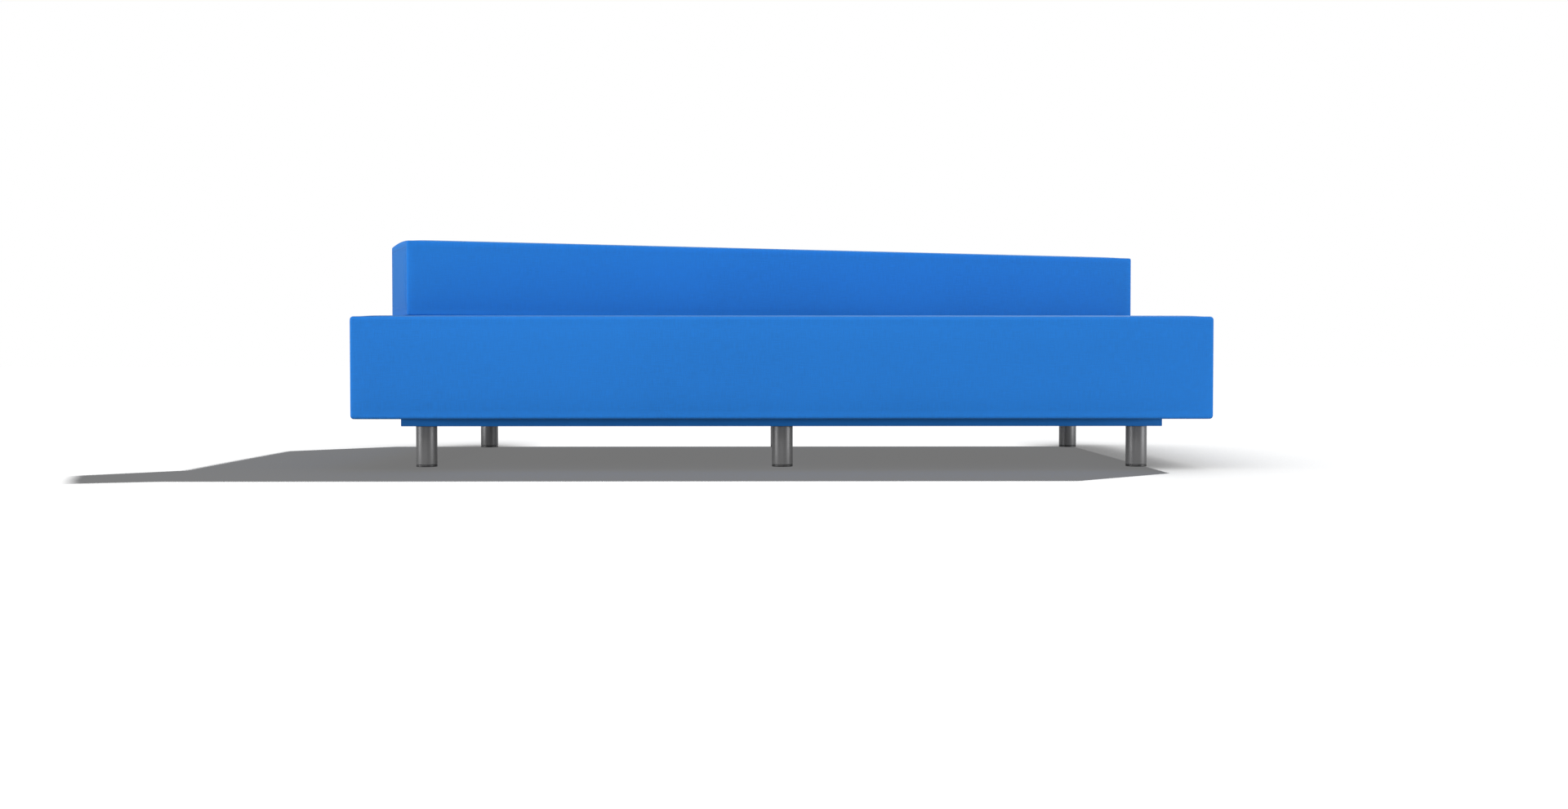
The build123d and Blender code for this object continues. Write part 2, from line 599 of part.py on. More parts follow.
RIB_HEIGHT = TOP_BOARD_BOTTOM - BOARD_TOP
RIB_WINDOW_WIDTH = BOARD_DEPTH - 2 * RIB_WINDOW_MARGIN
RIB_WINDOW_HEIGHT = RIB_HEIGHT - 2 * RIB_WINDOW_MARGIN
OUTER_RIB = BOARD_LENGTH / 2 - RIB_FROM_END
RIB_SPOTS = {
    "left_outer": -OUTER_RIB,
    "left_inner": -INNER_RIB_FROM_MIDDLE,
    "right_inner": INNER_RIB_FROM_MIDDLE,
    "right_outer": OUTER_RIB,
}
for rib_name, along in RIB_SPOTS.items():
    with BuildPart() as back_rib:
        with BuildSketch(turned_section(along)):
            with Locations((0, BOARD_TOP + RIB_HEIGHT / 2)):
                Rectangle(BOARD_DEPTH, RIB_HEIGHT)
                Rectangle(RIB_WINDOW_WIDTH, RIB_WINDOW_HEIGHT, mode=Mode.SUBTRACT)
        extrude(amount=RIB_THICKNESS / 2, both=True)
    save(back_rib.part, f"back_rib_{rib_name}")

with BuildPart() as back_top_board:
    with BuildSketch(turned_level(TOP_BOARD_BOTTOM)):
        Rectangle(BOARD_LENGTH, BOARD_DEPTH)
    extrude(amount=TOP_BOARD_THICKNESS)
save(back_top_board.part, "back_top_board")

# Backrest padding, cover and anti-slip felt
with BuildPart() as back_padding:
    with BuildSketch(turned_level(BOARD_BOTTOM)):
        Rectangle(BACK_CAVITY_LENGTH - 2 * SOFT_GAP, BACK_CAVITY_DEPTH - 2 * SOFT_GAP)
    extrude(amount=BACK_CAVITY_TOP - SOFT_GAP - BOARD_BOTTOM)
    with BuildSketch(turned_level(BOARD_BOTTOM)):
        Rectangle(BOARD_LENGTH, BOARD_DEPTH)
    extrude(amount=TOP_BOARD_TOP - BOARD_BOTTOM, mode=Mode.SUBTRACT)
save(back_padding.part, "back_padding")

back_cover = upholstered_cover(
    turned_section(0), turned_level, BACK_LENGTH, BACK_DEPTH, BACK_BOTTOM, BACK_EDGE, BACK_CROWN
)
save(back_cover, "back_cover")

with BuildPart() as back_felt:
    with BuildSketch(turned_level(BACK_BOTTOM)):
        Rectangle(BACK_OPENING_LENGTH - 2 * SOFT_GAP, BACK_OPENING_DEPTH - 2 * SOFT_GAP)
        Rectangle(PLATE_POCKET_LENGTH, PLATE_POCKET_DEPTH, mode=Mode.SUBTRACT)
    extrude(amount=COVER_THICKNESS)
save(back_felt.part, "back_felt")
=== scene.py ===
"""Looks of the block sofa bed: covers, legs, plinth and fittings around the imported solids, and its studio.

Metres, in the frame of the solids. X runs along the seat, Y from the front to the rear, Z up.
"""
import math
from itertools import chain, product
from typing import NamedTuple

import bmesh
import bpy
from mathutils import Matrix, Vector
from mathutils.bvhtree import BVHTree


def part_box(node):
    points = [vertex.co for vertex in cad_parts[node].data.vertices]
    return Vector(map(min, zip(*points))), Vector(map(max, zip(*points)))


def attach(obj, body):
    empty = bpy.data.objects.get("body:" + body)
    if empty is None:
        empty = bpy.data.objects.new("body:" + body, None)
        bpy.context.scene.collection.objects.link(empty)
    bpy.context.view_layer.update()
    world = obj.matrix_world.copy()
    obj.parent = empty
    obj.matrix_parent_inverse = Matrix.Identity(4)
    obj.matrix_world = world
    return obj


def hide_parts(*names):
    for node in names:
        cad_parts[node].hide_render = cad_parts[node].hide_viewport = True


class Block(NamedTuple):
    """Sizes of an upholstered block. Painted foot shade is the height of the painted shade that darkens its
    foot; its top stays under ceiling.
    """

    name: str
    length: float
    depth: float
    bottom: float
    edge: float
    crown: float
    rounding: float
    dusk: float
    swelling: tuple
    ceiling: float
    has_hole: bool


# Seat, and the backrest that is turned about the upright axis through the middle of the seat
SEAT = Block(
    name="seat", length=2.0, depth=1.2, bottom=0.118, edge=0.356, crown=0.005, rounding=0.008,
    dusk=0.0, swelling=(0.0025, 0.005, 0.0025), ceiling=0.3606, has_hole=True,
)
# The backrest's cover carries painted shade, darker towards its foot
BACK = Block(
    name="back", length=2.0, depth=0.265, bottom=0.3615, edge=0.54, crown=0.004, rounding=0.0045,
    dusk=0.15, swelling=(0.0025, 0.004, 0.003), ceiling=0.547, has_hole=False,
)
BACK_TURN = math.radians(20)

# Upholstery
ROUNDING_STEPS = 3
# Width along the cover's edges that is painted lighter, for rubbed wear and a painted highlight
EDGE_WEAR_AND_HIGHLIGHT = 0.009
# How the painted shade at a block's foot fades upwards
PAINTED_SHADE_FADE = 1.5
COVER_LIP = 0.034
LIP_TURN = 0.004
COVER_CLOTH = 0.002
CLOTH_CELL = 0.02
SAME_LINE_DIGITS = 6
SEAM_FROM_EDGE = 0.018
SEAM_HALF_WIDTH = 0.0012
SEAM_DEPTH = 0.0011
STITCH_FROM_SEAM = 0.004
STITCH_PITCH = 0.0065
STITCH = {"length": 0.0042, "radius": 0.00045}

# Rings of a stitch or staple: place as a share of its length, lift and girth as shares of its radius
WIRE_RINGS = ((-0.5, -0.8, 0.5), (-0.3, 0.5, 1.0), (0.3, 0.5, 1.0), (0.5, -0.8, 0.5))
WIRE_SIDES = 6

# Swelling of the covers under the pressure of their filling
SWELL_FRAMES = 20
SWELL_SETTINGS = {
    "quality": 5,
    "tension_stiffness": 12.0,
    "compression_stiffness": 12.0,
    "bending_stiffness": 2.0,
    "use_pressure": True,
    "uniform_pressure_force": 9.0,
}
HELD_FADE = 0.03

# Hole and eyelet in the middle of the seat
HOLE_RADIUS = 0.036
HOLE_SQUARE = 0.08
HOLE_RINGS = 3
HOLE_TURN = 0.006
HOLE_FREE_SHARE = 0.5
EYELET_BORE = 0.032
EYELET_OUTER = 0.034
EYELET_FLANGE = 0.042
EYELET_RIM = 0.0015
EYELET_BARREL = 0.0095
EYELET_TOP = SEAT.edge + SEAT.crown
EYELET_UNDER = EYELET_TOP - EYELET_RIM
EYELET_FOOT = EYELET_UNDER - EYELET_BARREL
EYELET_SOFTENING = 0.0006
EYELET_OUTLINE = [
    (EYELET_OUTER, EYELET_UNDER),
    (EYELET_OUTER, EYELET_FOOT),
    (EYELET_BORE, EYELET_FOOT),
    (EYELET_BORE, EYELET_TOP),
    (EYELET_FLANGE, EYELET_TOP),
    (EYELET_FLANGE, EYELET_UNDER),
    (EYELET_OUTER, EYELET_UNDER),
]

# Legs and glides
LEG_RADIUS = 0.025
LEG_TOP = 0.098
GLIDE_TOP = 0.005
LEG_X = 0.851
LEG_Y = 0.458
LEG_SOFTENING = 0.0012
GLIDE_SOFTENING = 0.001
TURNED_SEGMENTS = 64
MERGE_DISTANCE = 0.00001
SOFTENING_STEPS = 3
LEG_SPOTS = {
    f"{row}_{column}": (x, y)
    for row, y in (("front", -LEG_Y), ("rear", LEG_Y))
    for column, x in (("left", -LEG_X), ("middle", 0.0), ("right", LEG_X))
}

# Plinth and the screws that hold it under the beams
PLINTH_RAILS = ("front", "rear", "left", "middle", "right")
PLINTH_BEVEL = 0.0015
BEVEL_SEGMENTS = 3
BEVEL_ROUNDNESS = 0.5
SIDE_BEAM_X = 0.853
MIDDLE_BEAM_X = 0.0625
SCREW_Y = 0.25
SCREW_SPOTS = [(way * SIDE_BEAM_X, y) for way in (-1, 1) for y in (-SCREW_Y, 0.0, SCREW_Y)]
SCREW_SPOTS += [(way * MIDDLE_BEAM_X, y) for way in (-1, 1) for y in (-SCREW_Y, SCREW_Y)]
FRAME_SCREW = {"radius": 0.0055, "height": 0.0025, "level": 0.098}

# Pivot plate under the backrest
PLATE_SCREW_SPOT = (0.062, 0.042)
PLATE_SCREW = {"radius": 0.006, "height": 0.0008, "level": 0.362}
PLATE_OPENING = Vector((0.0802, 0.0602))

# Head of a screw, as shares of its radius and height
HEAD_WALL = 0.4
HEAD_FLAT = 0.72
RECESS_REACH = 0.6
RECESS_HALF_WIDTH = 0.15
RECESS_DEPTH = 0.8

# Dust cover and felt
DUST_LOW = 0.0003
DUST_CLOTH = 0.0008
DUST_SAG = 0.004
FELT_SOFTNESS = 0.001
FELT_THICKNESS = 0.004
STAPLE = {"length": 0.01, "radius": 0.0005}
STAPLE_PITCH = 0.055
STAPLE_INSET = 0.006

# Names shared by meshes and materials
UV_NAME = "surface"
# Nearness to an edge: on the cover it carries rubbed wear and a painted highlight, on the plinth thin lacquer
NEAR_EDGE_NAME = "edge_wear"
# Share of painted shade that darkens the foot of a cover
PAINTED_SHADE_NAME = "dusk"
HELD_NAME = "held"
SEAM_NAME = "seam"

# Axes, the upright direction and the colour sockets of a mixing node
X_AXIS, Y_AXIS, Z_AXIS = range(3)
UP = Vector((0.0, 0.0, 1.0))
MIX_FIRST = 6
MIX_SECOND = 7
MIX_RESULT = 2

# Octaves of a random pattern, from smooth to tangled, and the share of each octave in the next one
SMOOTH = 1.0
SOFT = 2.0
MIXED = 3.0
ROUGH = 4.0
FIBROUS = 5.0
TANGLED = 6.0
OCTAVE_SHARE = 0.55
TANGLED_SHARE = 0.7

# Spans of a random pattern that are stretched to its full contrast
MIDDLE_SPAN = (0.3, 0.7)
WIDE_SPAN = (0.2, 0.8)
FULL_SPAN = (0.0, 1.0)


class Tint(NamedTuple):
    """Span of a pattern, the shares of a blend at its ends, and the tone to blend to."""

    span: tuple
    shares: tuple
    tone: float


class Finish(NamedTuple):
    """Roughness at the ends of a pattern's span, and a relief's height in metres and strength."""

    roughness: tuple
    height: float
    strength: float
    span: tuple = WIDE_SPAN


# Woven fabric of the covers
FABRIC_BLUE = (0.0135, 0.184, 0.625, 1.0)
YARN_PITCH = 0.0022
WARP_SLUBS = (480.0, 36.0, 1.0)
WEFT_SLUBS = (36.0, 480.0, 1.0)
SLUB_CONTRAST = (0.86, 1.14)
SLUB_HEIGHT = 0.5
PATCH_SCALE = 2.6
YARN_GAPS = Tint(span=(0.0, 0.6), shares=(0.35, 0.0), tone=0.6)
PALE_PATCHES = Tint(span=(0.35, 0.65), shares=(0.0, 0.3), tone=1.12)
# Cover's edges painted lighter: rubbed wear and a painted highlight along them
RUBBED_AND_HIGHLIT_EDGES = Tint(span=(0.35, 0.75), shares=(0.25, 0.6), tone=1.55)
# Painted shade: the cover blended darker towards the backrest's foot
PAINTED_SHADE_TINT = Tint(span=(0.35, 0.65), shares=(0.32, 0.272), tone=0.35)
FABRIC_FINISH = Finish(roughness=(0.78, 0.94), height=0.00022, strength=0.6)
FABRIC_GLOSS = {
    "Specular IOR Level": 0.25,
    "Sheen Weight": 0.3,
    "Sheen Roughness": 0.45,
    "Sheen Tint": (0.3, 0.6, 1.0, 1.0),
}
THREAD_TONE = 0.8

# Satin steel of the legs
LEG_GREY = (0.15, 0.15, 0.152, 1.0)
LEG_STREAKS = (18.0, 900.0, 1.0)
LEG_CONTRAST = (0.94, 1.06)
LEG_FINISH = Finish(roughness=(0.4, 0.44), height=0.00003, strength=0.05, span=(0.25, 0.75))
LEG_GLOSS = {"Metallic": 0.3, "Specular IOR Level": 0.2}
FINGER_SCALE = 26.0
FINGER_SPAN = (0.4, 0.7)
FINGER_ROUGHNESS = (0.0, 0.03)

# Machined metal of the swivel, the eyelet and the small fasteners
SWIVEL_GREY = (0.2, 0.2, 0.21, 1.0)
ZINC_GREY = (0.55, 0.55, 0.53, 1.0)
EYELET_GREY = (0.5, 0.5, 0.51, 1.0)
SWIVEL_FINISH = Finish(roughness=(0.35, 0.52), height=0.00004, strength=0.5)
ZINC_FINISH = SWIVEL_FINISH._replace(roughness=(0.29, 0.46))
EYELET_FINISH = SWIVEL_FINISH._replace(roughness=(0.27, 0.44))
TURNING_MARKS = (30.0, 30.0, 1500.0)
METAL_MOTTLE = 60.0
METAL_CONTRAST = (0.8, 1.15)

# Moulded plastic
GLIDE_BLACK = (0.012, 0.012, 0.013, 1.0)
HOLDER_BLACK = (0.02, 0.02, 0.022, 1.0)
NYLON_WHITE = (0.72, 0.7, 0.64, 1.0)
SPARK_SCALE = 1600.0
SCUFF_STRETCH = (40.0, 40.0, 160.0)
SCUFFS = Tint(span=(0.52, 0.75), shares=(0.0, 0.35), tone=2.2)
PLASTIC_FINISH = Finish(roughness=(0.46, 0.7), height=0.00008, strength=0.5, span=SCUFFS.span)

# Lacquer of the plinth
PLINTH_BLUE = (0.018, 0.2, 0.66, 1.0)
CLOUD_SCALE = 5.0
PEEL_SCALE = 420.0
THIN_SCALE = 90.0
LACQUER_CONTRAST = (0.92, 1.08)
THIN_EDGES = Tint(span=(0.45, 0.7), shares=(0.0, 0.35), tone=1.7)
LACQUER_FINISH = Finish(roughness=(0.5, 0.64), height=0.00006, strength=0.4)
LACQUER_SPECULAR = 0.15

# Sawn timber and plywood
PINE_PALE = (0.62, 0.42, 0.22, 1.0)
PINE_DARK = (0.36, 0.2, 0.085, 1.0)
BIRCH_PALE = (0.72, 0.53, 0.32, 1.0)
BIRCH_DARK = (0.5, 0.32, 0.16, 1.0)
FIBRE_ALONG = 3.0
FIBRE_ACROSS = 90.0
RING_ALONG = 0.6
RING_ACROSS = 9.0
RING_PATTERN = {"Scale": 2.2, "Distortion": 5.0, "Detail": 3.0}
RING_SHARE = 0.55
FIBRE_SHARE = 0.6
GRAIN_SPAN = (0.25, 0.95)
TIMBER_FINISH = Finish(roughness=(0.55, 0.78), height=0.0003, strength=0.4)
PLY_PITCH = 0.0015
PLY_GRAIN = (3.0, 26.0, 26.0)
PLY_GRAIN_SPAN = (0.3, 0.75)
GLUE_LINES = Tint(span=(0.0, 0.35), shares=(0.5, 0.0), tone=0.6)
PLY_FINISH = Finish(roughness=(0.5, 0.7), height=0.0002, strength=0.35)

# Dust cloth and felt
DUST_BLACK = (0.014, 0.014, 0.015, 1.0)
DUST_FIBRES = 900.0
DUST_DOTS = 420.0
FELT_BLACK = (0.03, 0.03, 0.034, 1.0)
FELT_FIBRES = 1300.0
FIBRE_CONTRAST = (0.6, 1.7)
BONDING_DOTS = Tint(span=(0.2, 0.45), shares=(1.0, 0.0), tone=2.2)
FIBRE_GLOSS = {"Roughness": 0.95, "Sheen Weight": 0.2}
FIBRE_RELIEF = {"height": 0.0006, "strength": 0.5}

# Floor, with a darker contact shade near the ends of the seat
FLOOR_HALF = 60.0
FLOOR_SEEN = (0.22, 0.22, 0.22, 1.0)
FLOOR_BOUNCE = (0.06, 0.06, 0.06, 1.0)
FLOOR_LIFT = 0.175
CREASE_REACH = 0.6
CREASE_SAMPLES = 8
CREASE_ENDS = (0.7, 0.86)
CREASE_SPAN = (0.25, 0.95)
CREASE_SHARES = (0.9, 0.0)
WHITE = (1.0, 1.0, 1.0, 1.0)
BLACK = (0.0, 0.0, 0.0, 1.0)

# Light
WORLD_STRENGTH = 0.16
SUN_DIRECTION = (1.07, 1.03, 1.0)
SUN_ANGLE = math.radians(1.5)
SUN_ON_ALL = 1.0
SUN_ON_FLOOR = 21.0
SOFT_LIGHTS = {
    "key": {"place": (-3.8, -11.6, 7.0), "size": (5.0, 5.0), "power": 1060.0},
    "front": {"place": (-0.6, -7.5, 0.28), "size": (4.0, 0.4), "power": 28.0},
    "left": {"place": (-11.0, -4.4, 0.35), "size": (4.0, 1.0), "power": 620.0},
    "right": {"place": (10.5, -4.7, 0.35), "size": (4.0, 1.0), "power": 640.0},
    "rear": {"place": (3.5, 6.5, 3.0), "size": (3.0, 2.0), "power": 260.0},
}
LIGHT_AIM = (0.0, 0.0, 0.3)

# Camera, fitted to the photograph's edges
CAMERA_PLACE = (-0.0418, -4.4835, 0.2531)
CAMERA_PITCH = 0.026
CAMERA_YAW = 0.0114
CAMERA_LENS = 38.557


# Mesh helpers


def finished_object(name, builder, material):
    """Object from a bmesh, with outward faces, smooth shading and its material."""
    bmesh.ops.recalc_face_normals(builder, faces=builder.faces)
    mesh = bpy.data.meshes.new(name)
    builder.to_mesh(mesh)
    builder.free()
    mesh.materials.append(material)
    mesh.shade_smooth()
    made = bpy.data.objects.new(name, mesh)
    bpy.context.scene.collection.objects.link(made)
    return made


def bridge(builder, first_ring, second_ring):
    """Quads between two closed rings with the same number of points."""
    faces = []
    for number, start in enumerate(first_ring):
        after = (number + 1) % len(first_ring)
        corners = (start, first_ring[after], second_ring[after], second_ring[number])
        faces.append(builder.faces.new(corners))
    return faces


def closed_tube(builder, rings):
    """Quads between each ring and the next, and a face at both ends."""
    for first, second in zip(rings, rings[1:]):
        bridge(builder, first, second)
    builder.faces.new(rings[0])
    builder.faces.new(rings[-1])


def rectangle(half_x, half_y):
    """Corners of a rectangle about the upright axis, in turn."""
    return [Vector((x * half_x, y * half_y)) for x, y in ((-1, -1), (1, -1), (1, 1), (-1, 1))]


def even_spots(start, end, pitch):
    """Middles of equal steps along a line."""
    run = end - start
    count = int(run.length / pitch)
    return [start + run * (number + 0.5) / count for number in range(count)]


def softened(outline, radius):
    """Open outline of points in a plane with its inner corners rounded off."""
    points = [Vector(outline[0])]
    for before, corner, after in zip(outline, outline[1:], outline[2:]):
        corner = Vector(corner)
        arm_in = (Vector(before) - corner).normalized() * radius
        arm_out = (Vector(after) - corner).normalized() * radius
        for step in range(SOFTENING_STEPS + 1):
            share = step / SOFTENING_STEPS
            points.append(corner + arm_in * (1 - share) ** 2 + arm_out * share**2)
    points.append(Vector(outline[-1]))
    return points


def round_post(bottom, top, softening):
    """Outline of a round post as thick as a leg."""
    outline = [(0.0, bottom), (LEG_RADIUS, bottom), (LEG_RADIUS, top), (0.0, top)]
    return softened(outline, softening)


def turned(name, outline, spots, material):
    """Lathe-turned piece from radius and height points at each spot, with a surface map in metres.

    An outline that ends where it starts makes a ring; any other starts and ends on the axis.
    """
    step = math.tau / TURNED_SEGMENTS
    spokes = [Vector((math.cos(step * number), math.sin(step * number))) for number in range(TURNED_SEGMENTS)]
    run = [0.0]
    for start, end in zip(outline, outline[1:]):
        run.append(run[-1] + (end - start).length)
    builder = bmesh.new()
    surface = builder.loops.layers.uv.new(UV_NAME)
    for x, y in spots:
        rings = []
        for radius, height in outline:
            places = [(x + radius * across, y + radius * along, height) for across, along in spokes]
            rings.append([builder.verts.new(place) for place in places])
        for low, high, lower, upper in zip(run, run[1:], rings, rings[1:]):
            for number, face in enumerate(bridge(builder, lower, upper)):
                left, right = (LEG_RADIUS * step * edge for edge in (number, number + 1))
                corners = ((left, low), (right, low), (right, high), (left, high))
                for loop, corner in zip(face.loops, corners):
                    loop[surface].uv = corner
        if outline[0] == outline[-1]:
            bmesh.ops.remove_doubles(builder, verts=rings[0] + rings[-1], dist=MERGE_DISTANCE)
            continue
        for ring in (rings[0], rings[-1]):
            bmesh.ops.pointmerge(builder, verts=ring, merge_co=Vector((x, y, ring[0].co.z)))
    return finished_object(name, builder, material)


# Shader helpers


def new_material(name):
    """Node material with its tree and its main shader."""
    material = bpy.data.materials.new(name)
    material.use_nodes = True
    return material, material.node_tree, material.node_tree.nodes["Principled BSDF"]


def add_node(tree, kind, values=None, **settings):
    """Shader node with its settings and what goes into its sockets."""
    node = tree.nodes.new(f"ShaderNode{kind}")
    for setting, value in settings.items():
        setattr(node, setting, value)
    fill_sockets(tree, node, values or {})
    return node


def fill_sockets(tree, node, values):
    """Fill a node's sockets, by name or number: link an output, or set a constant."""
    for key, value in values.items():
        if isinstance(value, bpy.types.NodeSocket):
            tree.links.new(value, node.inputs[key])
        else:
            node.inputs[key].default_value = value


def maths(tree, operation, first, second=0.0):
    """Result of one arithmetic step."""
    return add_node(tree, "Math", {0: first, 1: second}, operation=operation).outputs[0]


def axes(tree, vector):
    """The coordinates of a place, by the names of their axes."""
    return add_node(tree, "SeparateXYZ", {0: vector}).outputs


def stretched(tree, vector, scale, turn=0.0):
    """Coordinates scaled along each axis after a turn about the upright axis."""
    values = {"Vector": vector, "Scale": scale, "Rotation": (0.0, 0.0, turn)}
    return add_node(tree, "Mapping", values).outputs["Vector"]


def noise(tree, vector, scale, octaves, share=OCTAVE_SHARE):
    """Soft random pattern."""
    values = {"Vector": vector, "Scale": scale, "Detail": octaves, "Roughness": share}
    return add_node(tree, "TexNoise", values).outputs["Fac"]


def drawn_noise(tree, vector, stretch, octaves):
    """Soft random pattern drawn out along an axis."""
    return noise(tree, stretched(tree, vector, stretch), 1.0, octaves)


def ripples(tree, value, pitch):
    """Even ripples along an axis: 1 on each crest, 0 between them."""
    phase = maths(tree, "MULTIPLY", value, math.pi / pitch)
    return maths(tree, "ABSOLUTE", maths(tree, "SINE", phase))


def levels(tree, value, span, new_span=FULL_SPAN):
    """Value stretched from one span to another, held inside the new one."""
    values = dict(enumerate((value, *span, *new_span)))
    return add_node(tree, "MapRange", values, clamp=True).outputs[0]


def shade(colour, factor):
    """A colour made lighter or darker."""
    return tuple(channel * factor for channel in colour[:3]) + (1.0,)


def blend_colours(tree, factor, first, second):
    """Colour between two others."""
    values = {"Factor": factor, MIX_FIRST: first, MIX_SECOND: second}
    return add_node(tree, "Mix", values, data_type="RGBA").outputs[MIX_RESULT]


def mottled(tree, pattern, colour, contrast):
    """Colour that follows a random pattern from a darker to a lighter tone."""
    darker, lighter = (shade(colour, factor) for factor in contrast)
    return blend_colours(tree, levels(tree, pattern, MIDDLE_SPAN), darker, lighter)


def tinted(tree, colour, base, pattern, tint, mask=1.0):
    """Colour blended towards a tone of its base by a pattern, as far as a mask lets it."""
    share = maths(tree, "MULTIPLY", levels(tree, pattern, tint.span, tint.shares), mask)
    return blend_colours(tree, share, colour, shade(base, tint.tone))


def raise_surface(tree, surface, relief, height, strength):
    """Bump from a relief pattern, with its height in metres."""
    bump = add_node(tree, "Bump", {"Strength": strength, "Distance": height, "Height": relief})
    fill_sockets(tree, surface, {"Normal": bump.outputs["Normal"]})


def finish_surface(tree, surface, colour, pattern, relief, finish, smears=0.0):
    """Colour, a roughness that follows a pattern and its smears, and a relief."""
    roughness = maths(tree, "ADD", levels(tree, pattern, finish.span, finish.roughness), smears)
    fill_sockets(tree, surface, {"Base Color": colour, "Roughness": roughness})
    raise_surface(tree, surface, relief, finish.height, finish.strength)


def surface_map(tree):
    """Coordinates on a piece's own surface, in metres."""
    return add_node(tree, "UVMap", uv_map=UV_NAME).outputs["UV"]


def part_place(tree):
    """Coordinates in the frame of a piece, in metres."""
    return add_node(tree, "TexCoord").outputs["Object"]


def carried(tree, name):
    """Value that the points of a mesh carry under a name."""
    return add_node(tree, "Attribute", attribute_name=name).outputs["Fac"]


def seen_rays(tree):
    """1 for rays that show the surroundings, straight or in metal and glass, 0 for bounced light."""
    path = add_node(tree, "LightPath")
    seen = maths(tree, "MAXIMUM", path.outputs["Is Camera Ray"], path.outputs["Is Glossy Ray"])
    return maths(tree, "MAXIMUM", seen, path.outputs["Is Transmission Ray"])


def either_shader(tree, factor, first, second, output):
    """Shader between two others, linked to the output."""
    either = add_node(tree, "MixShader", {0: factor, 1: first.outputs[0], 2: second.outputs[0]})
    fill_sockets(tree, output, {"Surface": either.outputs[0]})


# Materials


def woven_fabric():
    """Plain-woven wool: crossing yarns with slubs, edges painted lighter for rubbed wear and a painted
    highlight, and painted shade darkening the backrest's foot.
    """
    material, tree, surface = new_material("cover_fabric")
    cloth = surface_map(tree)
    checks = add_node(tree, "TexChecker", {"Vector": cloth, "Scale": 1.0 / YARN_PITCH})
    warp_on_top = checks.outputs["Fac"]
    weft_on_top = maths(tree, "SUBTRACT", 1.0, warp_on_top)

    def woven(warp, weft):
        """Warp where it lies on top, weft elsewhere."""
        shown_warp = maths(tree, "MULTIPLY", warp, warp_on_top)
        return maths(tree, "ADD", shown_warp, maths(tree, "MULTIPLY", weft, weft_on_top))

    directions = axes(tree, cloth)
    yarns = woven(*(ripples(tree, directions[axis], YARN_PITCH) for axis in "XY"))
    slubs = woven(*(drawn_noise(tree, cloth, stretch, MIXED) for stretch in (WARP_SLUBS, WEFT_SLUBS)))
    patches = noise(tree, part_place(tree), PATCH_SCALE, SOFT)
    colour = mottled(tree, slubs, FABRIC_BLUE, SLUB_CONTRAST)
    colour = tinted(tree, colour, FABRIC_BLUE, yarns, YARN_GAPS)
    colour = tinted(tree, colour, FABRIC_BLUE, patches, PALE_PATCHES)
    # Edges painted lighter, for rubbed wear and a painted highlight
    colour = tinted(tree, colour, FABRIC_BLUE, slubs, RUBBED_AND_HIGHLIT_EDGES, carried(tree, NEAR_EDGE_NAME))
    # Painted shade, darker towards the backrest's foot
    colour = tinted(tree, colour, FABRIC_BLUE, patches, PAINTED_SHADE_TINT, carried(tree, PAINTED_SHADE_NAME))
    fuzz = maths(tree, "ADD", yarns, maths(tree, "MULTIPLY", slubs, SLUB_HEIGHT))
    finish_surface(tree, surface, colour, slubs, fuzz, FABRIC_FINISH)
    fill_sockets(tree, surface, FABRIC_GLOSS)
    return material


def satin_steel():
    """Satin steel of the legs, with fine streaks round each leg and faint finger marks."""
    material, tree, surface = new_material("leg_steel")
    streaks = drawn_noise(tree, surface_map(tree), LEG_STREAKS, ROUGH)
    fingers = noise(tree, part_place(tree), FINGER_SCALE, ROUGH)
    colour = mottled(tree, streaks, LEG_GREY, LEG_CONTRAST)
    smeared = levels(tree, fingers, FINGER_SPAN, FINGER_ROUGHNESS)
    finish_surface(tree, surface, colour, streaks, streaks, LEG_FINISH, smeared)
    fill_sockets(tree, surface, LEG_GLOSS)
    return material


def machined_steel(name, grey, finish):
    """Metal with fine turning marks up the piece and a mottled tone."""
    material, tree, surface = new_material(name)
    place = part_place(tree)
    mottle = noise(tree, place, METAL_MOTTLE, ROUGH)
    marks = drawn_noise(tree, place, TURNING_MARKS, SOFT)
    finish_surface(tree, surface, mottled(tree, mottle, grey, METAL_CONTRAST), mottle, marks, finish)
    surface.inputs["Metallic"].default_value = 1.0
    return material


def moulded_plastic(name, base):
    """Moulded plastic with a fine spark texture and dusty scuffs."""
    material, tree, surface = new_material(name)
    place = part_place(tree)
    scuffs = drawn_noise(tree, place, SCUFF_STRETCH, FIBROUS)
    grain = noise(tree, place, SPARK_SCALE, SOFT)
    finish_surface(tree, surface, tinted(tree, base, base, scuffs, SCUFFS), scuffs, grain, PLASTIC_FINISH)
    return material


def lacquer():
    """Blue satin lacquer on the plinth: orange peel, a little cloudiness and thin edges."""
    material, tree, surface = new_material("plinth_lacquer")
    place = part_place(tree)
    clouds = noise(tree, place, CLOUD_SCALE, MIXED)
    spots = noise(tree, place, THIN_SCALE, ROUGH)
    peel = noise(tree, place, PEEL_SCALE, SMOOTH)
    colour = mottled(tree, clouds, PLINTH_BLUE, LACQUER_CONTRAST)
    colour = tinted(tree, colour, PLINTH_BLUE, spots, THIN_EDGES, carried(tree, NEAR_EDGE_NAME))
    finish_surface(tree, surface, colour, clouds, peel, LACQUER_FINISH)
    surface.inputs["Specular IOR Level"].default_value = LACQUER_SPECULAR
    return material


